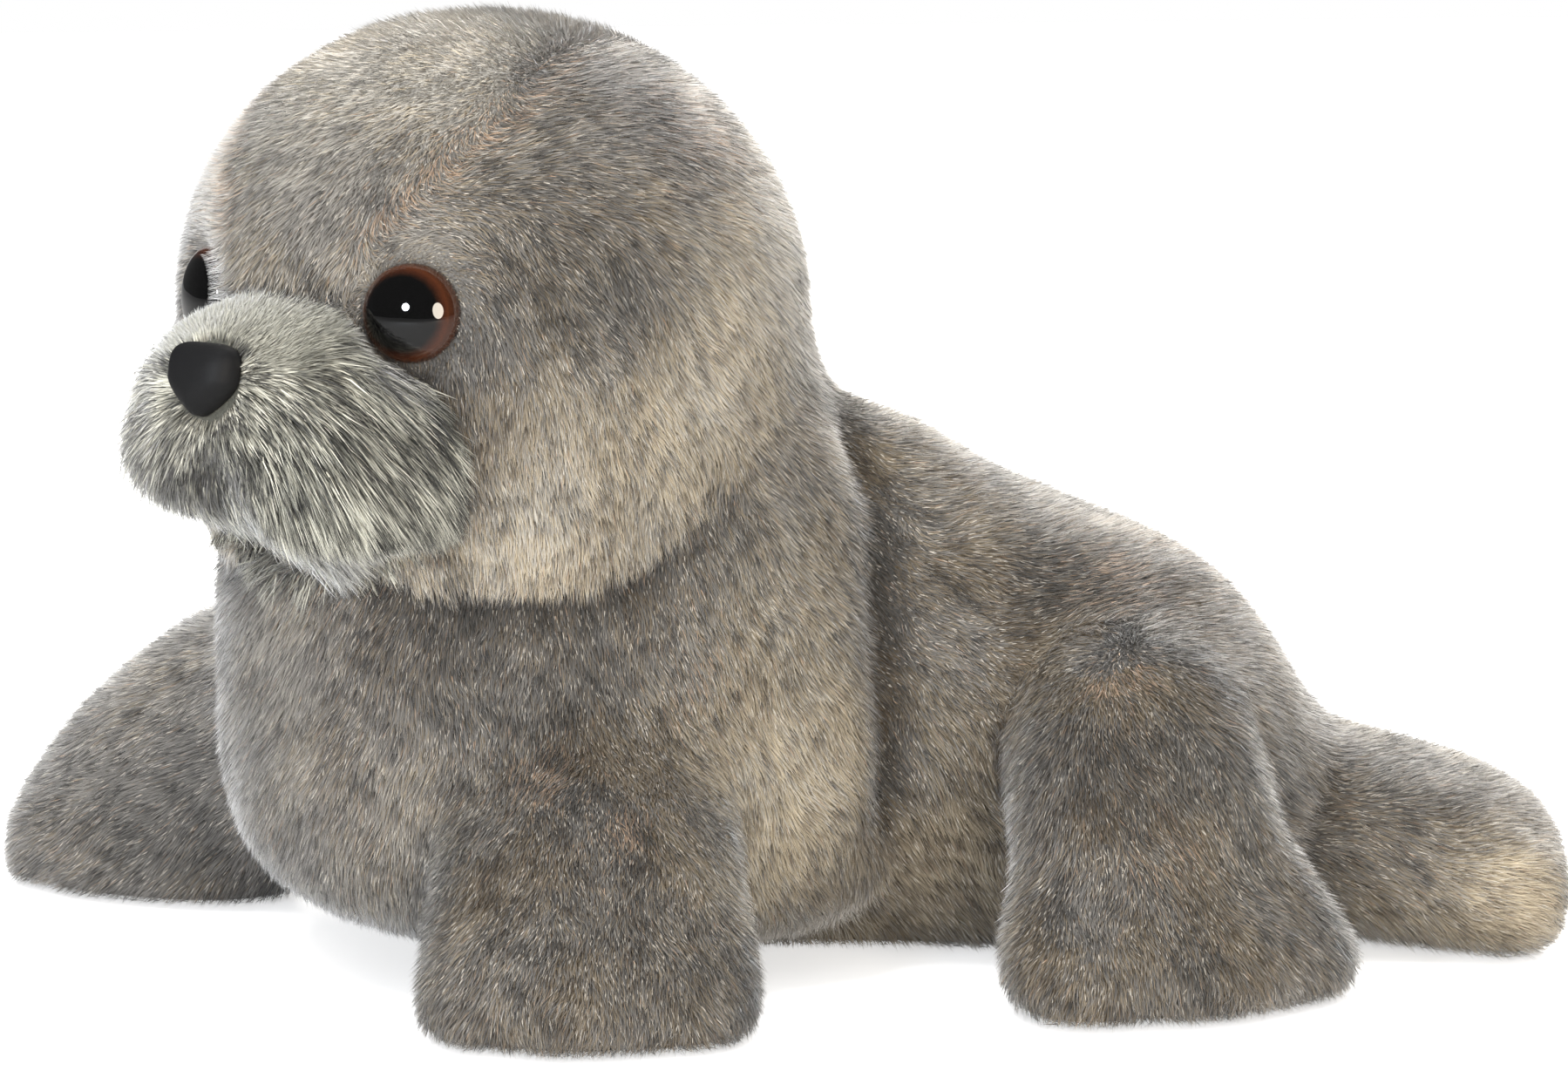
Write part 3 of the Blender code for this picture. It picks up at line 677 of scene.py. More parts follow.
def flipper_flow(name, points):
    """From the shoulder or hip to the toes, fanning out at both."""
    root, toes = (np.array(p) for p in FLIPPER_LINES[name])
    line = toes - root
    share = np.clip((points - root) @ line / (line @ line), 0, 1)
    aside = points - (root + share[:, None] * line)
    near = ease(0.035, 0.0, np.linalg.norm(points - root, axis=1))
    fan = unit(points - root) * near[:, None]
    return unit(line) + 12.0 * aside * (share**2)[:, None] + 0.45 * fan


def nearness(points, place, reach):
    """1 at a place in millimetres, falling off smoothly over its reach."""
    return np.exp(-((points / MM - place)**2).sum(1) / reach**2)


def patch_tone(points, start, patches, mirrored=False):
    """Tone at points: a start value, moved towards each patch's tone near it."""
    tone = np.full(len(points), start)
    for place, reach, value in patches:
        near = nearness(points, place, reach)
        if mirrored and place[0] > 0:
            near = np.maximum(near, nearness(points * (-1, 1, 1), place, reach))
        tone += (value - tone) * near
    return tone


def pile_tone(name, points):
    """Tone from dark to pale, how warm it is, and the share of tan fibres."""
    tan = np.zeros(len(points))
    for place, reach, value in TAN_PATCHES:
        tan = np.maximum(tan, value * nearness(points, place, reach))
    if name == "head":
        local = in_head(points)
        tone = patch_tone(local, 0.44, HEAD_PATCHES, mirrored=True)
        warmth = patch_tone(local, 0.35, HEAD_WARMTH, mirrored=True)
        hem = ease(-0.036, -0.056, local[:, 2])
        tone += (0.74 - tone) * hem
        beyond = abs(local[:, 0]) - parting_width(local)
        front = ease(-0.03, 0.01, local[:, 1]) * ease(0.012, 0.024, local[:, 2])
        tan = np.maximum(tan, 0.34 * np.exp(-((beyond + 0.001) / 0.0036)**2) * front)
    else:
        tone = patch_tone(points, 0.42, BODY_DYE_AND_SHADE_PATCHES)
        warmth = patch_tone(points, 0.42, BODY_WARMTH)
    tone += 0.040 * ripple(points, 0.030, 11) + 0.026 * ripple(points, 0.010, 12)
    warmth = np.clip(warmth + 0.12 * ripple(points, 0.024, 13), 0, 1)
    return tone, warmth, np.clip(tan + 0.012, 0, 1)


def on_map(tone, share):
    """Place on the map of a tone from 0 to 1, in its share (start, width)."""
    return share[0] + share[1] * np.clip(tone, 0.01, 0.99)


class Fibres:
    """Roots of a node's fibres on its mat, found evenly over its faces."""

    def __init__(self, name, count, seed):
        skin = stuffed_form()
        faces = skin.faces[skin.owner[skin.faces[:, 0]] == SOFT_NODES.index(name)]
        a, b, c = (skin.mat[faces[:, k]] for k in range(3))
        area = np.linalg.norm(np.cross(b - a, c - a), axis=1)
        sole = skin.surface[faces].mean(1)[:, 2] < 0.003
        total = np.cumsum(area * np.where(sole, 0.35, 1.0))
        self.rng = np.random.default_rng(seed)
        spots = (np.arange(count) + self.rng.random(count)) / count * total[-1]
        pick = faces[np.minimum(np.searchsorted(total, spots), len(faces) - 1)]
        u, v = self.rng.random(count), self.rng.random(count)
        flip = u + v > 1
        u, v = np.where(flip, 1 - u, u), np.where(flip, 1 - v, v)
        share = np.stack((1 - u - v, u, v), 1)[:, :, None]
        self.root = (skin.mat[pick] * share).sum(1)
        self.surface = (skin.surface[pick] * share).sum(1)
        self.shelter = (skin.shelter[pick] * share[:, :, 0]).sum(1)
        self.seam = (skin.seam[pick] * share[:, :, 0]).sum(1)
        self.normal = unit((skin.mat_outward[pick] * share).sum(1)
                           + (skin.outward[pick] * share).sum(1))
        self.count = count

    def shuffle(self):
        """Mix the order, so that bent and straight fibres stand side by side."""
        self.keep(self.rng.permutation(self.count))

    def keep(self, mask):
        """Keep the fibres that a mask or a list of numbers picks."""
        self.root, self.surface, self.normal, self.shelter, self.seam = (
            values[mask] for values in (self.root, self.surface, self.normal,
                                        self.shelter, self.seam))
        self.count = len(self.root)


def part_at_fittings(root, normal, along, length):
    """Turn fibres outward round eyes and nose and shorten them there, but not on the side
    of the far eye that its brow overhangs."""
    for name, radius in PILE_CLEARANCE.items():
        height, reach, out = beside_axis(root, *fitting_frame(name))
        close = (1 - ease(radius * 1.05, radius * 1.75, reach)) * (
            abs(height) < FITTING_REACH)
        if name == "eye_right":
            close = close * ease(0.35, 0.05, out @ HEAD_LEFT)
        along = unit(along + out * (1.3 * close)[:, None])
        along = unit(along - (along * normal).sum(1, keepdims=True) * normal)
        length = length * (1 - 0.48 * close)
    return along, length


def clear_eyes(ends):
    """Push fibre ends out of the eyes, in place. Those that overhang the far eye come to
    lie on its dome."""
    for name in ("eye_left", "eye_right"):
        origin, way = fitting_frame(name)
        height, reach, out = beside_axis(ends, origin, way)
        inside = (reach < EYE_RADIUS * 0.985) & (abs(height) < FITTING_REACH)
        over = inside & (out @ HEAD_LEFT > 0.2) & (name == "eye_right")
        edge = EYE_RADIUS * np.where(over, 0.82, 0.985)
        ends += out * np.where(inside, np.maximum(edge - reach, 0), 0.0)[:, None]
        reach = np.maximum(reach, edge)
        dome = 0.0004 + EYE_RIM + (EYE_DOME - EYE_RIM) * np.sqrt(
            np.clip(1 - (reach / EYE_RADIUS)**2, 0, 1))
        ends += way * np.where(over, np.maximum(dome - height, 0), 0.0)[:, None]


def lay_fibres(name, fibres, flow, length, rise, bend, width, tone, made,
               painted_glint_gap=None, bent=0):
    """Build the fibres as thin blades and dress them. The first ones bend over and have
    two triangles, the rest are straight and have one."""
    rng, normal, root = fibres.rng, fibres.normal, fibres.root
    flow = flow + 0.08 * ripple_vector(root, 0.0065, 31) + 0.14 * ripple_vector(
        root, 0.0200, 41) + 0.15 * rng.normal(size=root.shape)
    along = unit(flow - (flow * normal).sum(1, keepdims=True) * normal)
    length = length * rng.uniform(0.80, 1.15, fibres.count)
    # Fibres with painted glints and those with painted gap shade stand a little higher and are
    # shorter
    if painted_glint_gap is not None:
        width = width * np.where(painted_glint_gap > 0, 0.95, 1.0)
        root = root + normal * np.where(painted_glint_gap != 0, 0.0009, 0.0)[:, None]
        length = length * np.where(painted_glint_gap > 0, 0.42, np.where(painted_glint_gap < 0, 0.90, 1.0))
    along, length = part_at_fittings(root, normal, along, length)
    length = length * (1 - 0.30 * fibres.shelter)
    rise = rise + rng.normal(0, 0.15, fibres.count)
    bend = bend + rng.normal(0, 0.14, fibres.count)
    mid = root + (length * 0.45)[:, None] * (np.cos(rise)[:, None] * along
                                             + np.sin(rise)[:, None] * normal)
    tip = mid + (length * 0.55)[:, None] * (np.cos(bend)[:, None] * along
                                            + np.sin(bend)[:, None] * normal)
    clear_eyes(mid)
    clear_eyes(tip)
    for ends in (mid, tip):
        low = ends[:, 2] < TIP_FLOOR
        ends[low, 2] = 0.0003 + 0.0009 * rng.random(int(low.sum()))
    whole = unit(tip - root)
    across = unit(np.cross(normal, whole))
    turn = rng.normal(0, 0.45, fibres.count)[:, None]
    across = np.cos(turn) * across + np.sin(turn) * np.cross(whole, across)
    half = (width * rng.uniform(0.65, 1.25, fibres.count) / 2)[:, None] * across
    blade = unit(np.cross(whole, across))
    shade = unit(0.80 * normal + 0.20 * blade + 0.14 * rng.normal(size=root.shape))
    tip_shade = unit(shade + 0.20 * along)
    tone = np.clip(tone, 0.004, 0.996)
    bowed, rest = slice(0, bent), slice(bent, None)
    points = np.concatenate((
        np.stack((root, mid - half, mid + half, tip), 1)[bowed].reshape(-1, 3),
        np.stack((root - half, root + half, tip), 1)[rest].reshape(-1, 3)))
    shades = np.concatenate((
        np.stack((normal, shade, shade, tip_shade), 1)[bowed].reshape(-1, 3),
        np.stack((shade, shade, tip_shade), 1)[rest].reshape(-1, 3)))
    first = np.arange(bent, dtype=np.int32)[:, None] * 4
    second = 4 * bent + np.arange(fibres.count - bent, dtype=np.int32)[:, None] * 3
    faces = np.concatenate((
        np.concatenate((first + (0, 1, 2), first + (1, 3, 2)), 1).reshape(-1, 3),
        second + (1, 0, 2)))
    mesh = make_mesh(name, points, faces)
    mesh.normals_split_custom_set_from_vertices(shades.tolist())
    map_strands(mesh, np.concatenate((
        strand_map(tone[bowed], (0, -1, 1, -1, 0, 1), (0.01, 0.45, 0.45, 0.45, 0.99, 0.45)),
        strand_map(tone[rest], (1, -1, 0), (0.01, 0.01, 0.99)))))
    item = add_object(name, mesh, made)
    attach(item, "root")
    return item


def strand_map(tone, across, up):
    """Places of each fibre's corners in the map: across is its tone, up is root to tip."""
    spots = np.stack([np.stack((tone + 0.002 * a, np.full_like(tone, u)), 1)
                      for a, u in zip(across, up)], 1)
    return spots.reshape(-1, 2)


def mixed_tone(fibres, tone, warmth, tan):
    """Spread a tone over single fibres, some of them tan. Flecks are painted light and shade:
    the dark ones (-1) are painted shade of the gaps in the pile, in loose groups and more of
    them in seams and folds, and the pale ones (1) are painted glints on the tips that stand
    out of the pile."""
    rng = fibres.rng
    chance = rng.random(fibres.count)
    clump = ripple(fibres.root, 0.0045, 61)
    # Painted gap shade: more dark flecks where a seam or fold shelters the pile
    dark = 0.065 * (1 + 1.9 * clump + 1.0 * ripple(fibres.root, 0.020, 62)
                    ) + 0.05 * fibres.shelter
    painted_glint_gap = np.where(chance < dark, -1, np.where(chance > 0.925, 1, 0))
    # Painted glints lighten the pale flecks, painted gap shade darkens the dark ones
    single = rng.normal(0, 0.045, fibres.count) + np.where(
        painted_glint_gap > 0, 0.48, np.where(painted_glint_gap < 0, -0.36, 0.0))
    # Painted shade where a seam or fold shelters the pile
    tone = tone + single - 0.030 * clump + 0.008 - PAINTED_CREASE_SHADE * fibres.shelter
    kind = rng.random(fibres.count)
    grey = np.where((kind < warmth) & (painted_glint_gap < 1), on_map(tone, WARM), on_map(tone, COOL))
    return np.where(rng.random(fibres.count) < tan, on_map(tone + 0.15, TAN), grey), painted_glint_gap


def pile_material(name, tones, dark_tips):
    """Acrylic plush fibre: dull, a little sheen along its edge, and darker near the root
    where neighbours shade it."""
    made, tree = new_material(name)
    place = add_node(tree, "UVMap", uv_map="Strand")
    parts = add_node(tree, "SeparateXYZ", {"Vector": place.outputs["UV"]})
    ramp = add_node(tree, "ValToRGB", {"Fac": parts.outputs["X"]})
    set_ramp(ramp, tones)
    depth = add_node(tree, "ValToRGB", {"Fac": parts.outputs["Y"]})
    set_ramp(depth, ((0.0, "#a8a29b"), (0.30, "#d6d2cc"), (0.65, "#f8f6f3"), (1.0, "#ffffff")))
    shaded = add_node(tree, "Mix",
                      {"Factor": 1.0, "A": ramp.outputs["Color"],
                       "B": depth.outputs["Color"]}, data_type='RGBA', blend_type='MULTIPLY')
    grain = add_node(tree, "TexNoise",
                     {"Vector": place.outputs["UV"], "Scale": 90.0, "Detail": 1.0})
    streak = add_node(tree, "MapRange",
                      {"Value": grain.outputs["Fac"], "From Min": 0.3, "From Max": 0.7,
                       "To Min": 0.90, "To Max": 1.08})
    colour = add_node(tree, "VectorMath",
                      {"Vector": shaded.outputs["Result"],
                       "Scale": streak.outputs["Result"]}, operation='SCALE')
    result = colour.outputs["Vector"]
    if dark_tips:
        kind = add_node(tree, "Math", {0: parts.outputs["X"], 1: TIPPED},
                        operation='GREATER_THAN')
        high = add_node(tree, "MapRange",
                        {"Value": parts.outputs["Y"], "From Min": 0.42, "From Max": 0.66})
        both = add_node(tree, "Math",
                        {0: kind.outputs[0], 1: high.outputs["Result"]},
                        operation='MULTIPLY')
        tips = add_node(tree, "Mix",
                        {"Factor": both.outputs[0], "A": result,
                         "B": (*linear("#24221f"), 1.0)}, data_type='RGBA')
        result = tips.outputs["Result"]
    shader = add_node(tree, "BsdfPrincipled",
                      {"Base Color": result, "Roughness": 0.50, "IOR": 1.50,
                       "Specular IOR Level": 0.40, "Sheen Weight": 0.85,
                       "Sheen Roughness": 0.45})
    add_node(tree, "OutputMaterial", {"Surface": shader.outputs[0]})
    return made


def mat_material(name, tones):
    """Closed mat of packed fibres under the loose tips: dull, in the pile's own tones,
    and grained so that it never reads as a smooth skin between the tips."""
    made, tree = new_material(name)
    place = add_node(tree, "UVMap", uv_map="Strand")
    parts = add_node(tree, "SeparateXYZ", {"Vector": place.outputs["UV"]})
    ramp = add_node(tree, "ValToRGB", {"Fac": parts.outputs["X"]})
    set_ramp(ramp, tones)
    solid = add_node(tree, "TexCoord")
    grain = add_node(tree, "TexNoise",
                     {"Vector": solid.outputs["Object"], "Scale": 1 / 0.0006, "Detail": 3.0})
    # Grain, and painted shade: the mat takes 0.66 to 0.90 of the pile's tone, darker as deep
    # among the roots
    level = add_node(tree, "MapRange",
                     {"Value": grain.outputs["Fac"], "From Min": 0.3, "From Max": 0.7,
                      "To Min": 0.66, "To Max": 0.90})
    colour = add_node(tree, "VectorMath",
                      {"Vector": ramp.outputs["Color"], "Scale": level.outputs["Result"]},
                      operation='SCALE')
    bump = add_node(tree, "Bump",
                    {"Height": grain.outputs["Fac"], "Strength": 0.7, "Distance": 0.0004})
    shader = add_node(tree, "BsdfPrincipled",
                      {"Base Color": colour.outputs["Vector"], "Roughness": 0.9,
                       "Specular IOR Level": 0.15, "Normal": bump.outputs["Normal"]})
    add_node(tree, "OutputMaterial", {"Surface": shader.outputs[0]})
    return made


def acrylic_eye(colours, shift):
    """Moulded acrylic eye: clear glossy dome over a black pupil and a brown ring, so it
    shows sharp highlights and a ring that is deeper towards its edge."""
    made, tree = new_material("acrylic_eye")
    place = add_node(tree, "TexCoord")
    flat = add_node(tree, "VectorMath",
                    {0: place.outputs["Object"], 1: (1.0, 1.0, 0.0),
                     2: (shift, 0.0, 0.0)}, operation='MULTIPLY_ADD')
    reach = add_node(tree, "VectorMath", {0: flat.outputs["Vector"]},
                     operation='LENGTH')
    cloud = add_node(tree, "TexNoise",
                     {"Vector": place.outputs["Object"], "Scale": 1 / 0.0012, "Detail": 2.0})
    wander = add_node(tree, "Math", {0: cloud.outputs["Fac"], 1: 0.0005,
                                               2: reach.outputs["Value"]},
                      operation='MULTIPLY_ADD')
    share = add_node(tree, "Math", {0: wander.outputs[0], 1: EYE_RADIUS},
                     operation='DIVIDE')
    ramp = add_node(tree, "ValToRGB", {"Fac": share.outputs[0]})
    set_ramp(ramp, ((0.0, colours.pupil), (0.75, colours.pupil), (0.79, "#140a06"),
                    (0.87, colours.iris), (0.95, "#3c1e0f"), (1.0, "#32190c")))
    shader = add_node(tree, "BsdfPrincipled",
                      {"Base Color": ramp.outputs["Color"], "Roughness": 0.035,
                       "IOR": 1.49, "Specular IOR Level": 0.5, "Coat Weight": 1.0,
                       "Coat Roughness": 0.02, "Coat IOR": 1.49})
    add_node(tree, "OutputMaterial", {"Surface": shader.outputs[0]})
    return made


def moulded_plastic(name, shade, roughness, grain_size):
    """Injection-moulded ABS with a fine satin grain, so highlights are wide and soft."""
    made, tree = new_material(name)
    place = add_node(tree, "TexCoord")
    grain = add_node(tree, "TexNoise",
                     {"Vector": place.outputs["Object"], "Scale": 1 / grain_size,
                      "Detail": 3.0, "Roughness": 0.6})
    bump = add_node(tree, "Bump", {"Height": grain.outputs["Fac"],
                                             "Strength": 0.30, "Distance": 0.0001})
    tint = add_node(tree, "Mix",
                    {"Factor": grain.outputs["Fac"], "A": (*(v * 0.80 for v in shade), 1.0),
                     "B": (*(min(v * 1.22, 1.0) for v in shade), 1.0)}, data_type='RGBA')
    dull = add_node(tree, "MapRange",
                    {"Value": grain.outputs["Fac"], "To Min": roughness - 0.06,
                     "To Max": roughness + 0.08})
    shader = add_node(tree, "BsdfPrincipled",
                      {"Base Color": tint.outputs["Result"],
                       "Roughness": dull.outputs["Result"], "IOR": 1.50,
                       "Specular IOR Level": 0.22, "Normal": bump.outputs["Normal"]})
    add_node(tree, "OutputMaterial", {"Surface": shader.outputs[0]})
    return made


def turned_mesh(name, profile, outline):
    """Closed form from (scale, height) steps; outline gives the points at scale 1."""
    sides = len(outline)
    points = [(0.0, 0.0, profile[0][1])]
    for scale, height in profile[1:-1]:
        points += [(x * scale, y * scale, height) for x, y in outline]
    points.append((0.0, 0.0, profile[-1][1]))
    faces = []
    rows = len(profile) - 2
    for k in range(sides):
        after = (k + 1) % sides
        faces.append((0, 1 + after, 1 + k))
        faces.append((len(points) - 1, 1 + (rows - 1) * sides + k,
                      1 + (rows - 1) * sides + after))
        for row in range(rows - 1):
            low, high = 1 + row * sides, 1 + (row + 1) * sides
            faces.append((low + k, low + after, high + after, high + k))
    mesh = bpy.data.meshes.new(name)
    mesh.from_pydata(points, [], faces)
    mesh.update()
    mesh.shade_smooth()
    mesh.set_sharp_from_angle(angle=math.radians(50))
    return mesh


def stand_on(item, origin, way, top=None):
    """Place a fitting with its +Z along a direction; top says which way is its +Y."""
    z = Vector(way)
    x = Vector(top if top is not None else (0, 0, 1)).cross(z).normalized()
    y = z.cross(x)
    turn = Matrix((x, y, z)).transposed().to_4x4()
    item.matrix_world = Matrix.Translation(Vector(origin)) @ turn


class SEAL_OT_mats(bpy.types.Operator):
    """Lay the mat of packed fibres over the stuffing of every soft piece"""
    bl_idname = "seal.mats"
    bl_label = "Fibre Mats"

    def execute(self, context):
        skin = stuffed_form()
        pile = mat_material("acrylic_mat_pile", PILE_TONES)
        long_pile = mat_material("acrylic_mat_muzzle", MUZZLE_TONES)
        for number, name in enumerate(SOFT_NODES):
            faces = skin.faces[skin.owner[skin.faces[:, 0]] == number]
            used = np.zeros(len(skin.mat), bool)
            used[faces.ravel()] = True
            points, faces = keep_points(used, skin.mat, faces)
            mesh = make_mesh("mat_" + name, points, faces)
            corner = faces.ravel()
            if name == "muzzle":
                # Painted shade: the muzzle's mat is darker close round the nose
                _, reach, _ = beside_axis(skin.surface[used], *fitting_frame("nose"))
                across = (0.16 + 0.24 * ease(0.008, 0.013, reach))[corner]
            else:
                tone, warmth, _ = pile_tone(name, skin.surface[used])
                # Painted shade: the mat is darker in seams and folds, as the pile is
                tone = (tone - PAINTED_CREASE_SHADE * skin.shelter[used])[corner]
                warm = np.repeat(warmth[faces[:, 0]] > 0.5, 3)
                across = np.where(warm, on_map(tone, WARM), on_map(tone, COOL))
            # Each triangle takes a small piece of the map, at half a fibre's height
            aside = np.tile((-0.002, 0.002, 0.0), len(faces))
            rise = np.tile((0.44, 0.44, 0.48), len(faces))
            map_strands(mesh, np.stack((across + aside, rise), 1))
            item = add_object("mat_" + name, mesh, long_pile if name == "muzzle" else pile)
            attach(item, "root")
            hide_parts(name)
        return {'FINISHED'}


class SEAL_OT_head_pile(bpy.types.Operator):
    """Lay the pile of the head, parted above the eyes"""
    bl_idname = "seal.head_pile"
    bl_label = "Head Pile"

    def execute(self, context):
        sizes, counts = context.scene.seal_sizes, context.scene.seal_counts
        made = pile_material("acrylic_pile_head", PILE_TONES, False)
        fibres = Fibres("head", counts.head, 101)
        clear_fittings(fibres)
        local = in_head(fibres.surface)
        fringe = ease(0.018, 0.004, local[:, 2]) * ease(
            0.020, 0.012, abs(local[:, 0])) * (local[:, 1] > 0.03)
        hem = ease(-0.040, -0.052, local[:, 2]) * fibres.seam
        tone, painted_glint_gap = mixed_tone(fibres, *pile_tone("head", fibres.surface))
        lay_fibres("pile_head", fibres, head_flow(fibres.root),
                   sizes.pile_length * (1 + 0.35 * fringe + 0.30 * hem),
                   PILE_RISE - 0.25 * fringe, PILE_BEND - 0.25 * fringe,
                   sizes.fibre_width, tone, made, painted_glint_gap)
        return {'FINISHED'}


class SEAL_OT_body_pile(bpy.types.Operator):
    """Lay the pile of chest and rear body in two coats"""
    bl_idname = "seal.body_pile"
    bl_label = "Body Pile"

    def execute(self, context):
        sizes, counts = context.scene.seal_sizes, context.scene.seal_counts
        made = pile_material("acrylic_pile_body", PILE_TONES, False)
        for name, seed in (("pile_torso", 201), ("pile_torso_second", 202)):
            fibres = Fibres("torso", counts.torso, seed)
            tone, painted_glint_gap = mixed_tone(fibres, *pile_tone("torso", fibres.surface))
            lay_fibres(name, fibres, torso_flow(fibres.root),
                       sizes.pile_length, PILE_RISE, PILE_BEND, sizes.fibre_width,
                       tone, made, painted_glint_gap)
        return {'FINISHED'}


class SEAL_OT_flipper_pile(bpy.types.Operator):
    """Lay the pile of the four flippers"""
    bl_idname = "seal.flipper_pile"
    bl_label = "Flipper Pile"

    def execute(self, context):
        sizes, counts = context.scene.seal_sizes, context.scene.seal_counts
        made = pile_material("acrylic_pile_flippers", PILE_TONES, False)
        for seed, name in enumerate(FLIPPER_LINES, 301):
            fibres = Fibres(name, counts.flipper, seed)
            tone, painted_glint_gap = mixed_tone(fibres, *pile_tone(name, fibres.surface))
            lay_fibres("pile_" + name, fibres, flipper_flow(name, fibres.root),
                       sizes.pile_length, PILE_RISE, PILE_BEND, sizes.fibre_width,
                       tone, made, painted_glint_gap)
        return {'FINISHED'}


def clear_fittings(fibres):
    """Leave out fibres that would stand under an eye or the nose."""
    keep = np.ones(fibres.count, bool)
    for name, radius in PILE_CLEARANCE.items():
        height, reach, _ = beside_axis(fibres.root, *fitting_frame(name))
        keep &= (reach > radius * 0.97) | (abs(height) > 0.015)
    fibres.keep(keep)


def muzzle_tone(fibres, local, bridge, low, lip):
    """Tone of the long pile, and which fibres are dark guard hairs. It is darker at the lip and
    beside the nose, painted darker along the upper seam as shade under the forehead's fringe,
    and tufts of it have dark tips."""
    rng, count = fibres.rng, fibres.count
    tone = 0.41 + 0.18 * ripple(fibres.root, 0.0045, 51) + 0.20 * rng.normal(size=count)
    beside = ease(0.011, 0.021, local[:, 0]) * ease(-0.020, -0.008, local[:, 2])
    tone = tone + (0.365 - tone) * bridge - 0.46 * lip + 0.06 * low - 0.12 * beside
    upper = ease(-0.016, -0.006, local[:, 2])
    # Painted shade: a dark line along the upper seam, under the forehead's overhanging fringe
    tone = tone - 0.55 * np.clip(fibres.seam * 1.3 - 0.3, 0, 1) * upper
    tone = np.clip(tone + 0.07 * bridge * rng.normal(size=count), 0.02, 0.70)
    tufts = np.clip(0.35 + 2.2 * ripple(fibres.root, 0.0048, 52), 0, 1)
    tipped = rng.random(count) < 0.50 * tufts * (1 - bridge) + 0.25 * lip
    tone = np.where(tipped, TIPPED + 0.03 + 0.22 * rng.random(count), tone)
    guard = (rng.random(count) < 0.035) & (bridge < 0.5)
    return np.where(guard, 0.02, tone), guard


class SEAL_OT_muzzle_pile(bpy.types.Operator):
    """Lay the long pile of the muzzle and the clipped pile of its bridge"""
    bl_idname = "seal.muzzle_pile"
    bl_label = "Muzzle Pile"

    def execute(self, context):
        sizes, counts = context.scene.seal_sizes, context.scene.seal_counts
        made = pile_material("acrylic_pile_muzzle", MUZZLE_TONES, True)
        fibres = Fibres("muzzle", counts.muzzle_bent + counts.muzzle_straight, 401)
        fibres.shuffle()
        clear_fittings(fibres)
        bridge = bridge_share(fibres.surface, fibres.normal)
        local = in_head(fibres.surface)
        low = ease(-0.020, -0.040, local[:, 2])
        lip = np.exp(-(((local[:, 2] + 0.022) / 0.0055)**2 + (local[:, 0] / 0.012)**2)
                     ) * (local[:, 1] > 0.05)
        tone, guard = muzzle_tone(fibres, local, bridge, low, lip)
        reach = np.linalg.norm(fibres.root - fitting_frame("nose")[0], axis=1)
        grown = ease(0.006, 0.026, reach)
        length = SHORT_WHISKER + (sizes.muzzle_length - SHORT_WHISKER) * grown
        length = length * (1 - bridge) + sizes.bridge_length * bridge
        cheek = fibres.seam * ease(0.062, 0.050, local[:, 1]) * (1 - bridge)
        aside = ease(0.008, 0.022, abs(local[:, 0]))
        length = length * (1 - 0.5 * lip) * (1 - 0.25 * cheek) * (1 - 0.40 * low * aside)
        lay_fibres("pile_muzzle", fibres, muzzle_flow(fibres.root, fibres.normal), length,
                   0.34 + 0.14 * bridge + 0.14 * guard, 0.15 + 0.25 * bridge,
                   sizes.fibre_width * 1.32, tone, made,
                   bent=counts.muzzle_bent)
        return {'FINISHED'}


class SEAL_OT_eyes(bpy.types.Operator):
    """Turn both domed eyes"""
    bl_idname = "seal.eyes"
    bl_label = "Eyes"

    def execute(self, context):
        sides = 96
        outline = [(math.cos(2 * math.pi * k / sides), math.sin(2 * math.pi * k / sides))
                   for k in range(sides)]
        shank = 0.0023
        profile = [(0, -0.0140), (shank * 0.6, -0.0140), (shank, -0.0128), (shank, -0.0072),
                   (shank * 0.84, -0.0066), (shank, -0.0060), (shank, -0.0002),
                   (EYE_RADIUS * 0.88, 0.0), (EYE_RADIUS * 0.97, 0.0002),
                   (EYE_RADIUS, 0.0006), (EYE_RADIUS, EYE_RIM)]
        for step in range(1, 24):
            angle = math.pi / 2 * step / 24
            profile.append((EYE_RADIUS * math.cos(angle),
                            EYE_RIM + (EYE_DOME - EYE_RIM) * math.sin(angle)))
        profile.append((0, EYE_DOME))
        for name in ("eye_left", "eye_right"):
            made = acrylic_eye(context.scene.seal_colours, PUPIL_SHIFT[name])
            item = add_object("acrylic_" + name, turned_mesh(name, profile, outline), made)
            origin, way = fitting_frame(name)
            stand_on(item, origin, way, (0, 0, 1 if name == "eye_left" else -1))
            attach(item, "root")
            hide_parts(name)
        return {'FINISHED'}


def nose_outline(sides):
    """Shield: flat on top with round shoulders, running to a blunt point below."""
    points = []
    for k in range(sides):
        angle = 2 * math.pi * k / sides
        c, s = math.cos(angle), math.sin(angle)
        x = math.copysign(abs(c)**(2 / 3.4), c)
        z = math.copysign(abs(s)**(2 / (5.0 if s > 0 else 2.2)), s)
        narrow = 1 - 0.76 * (max(0.0, 0.10 - z) / 1.10)**1.7
        points.append((x * narrow * NOSE_HALF_WIDTH, z * NOSE_HALF_HEIGHT))
    return points


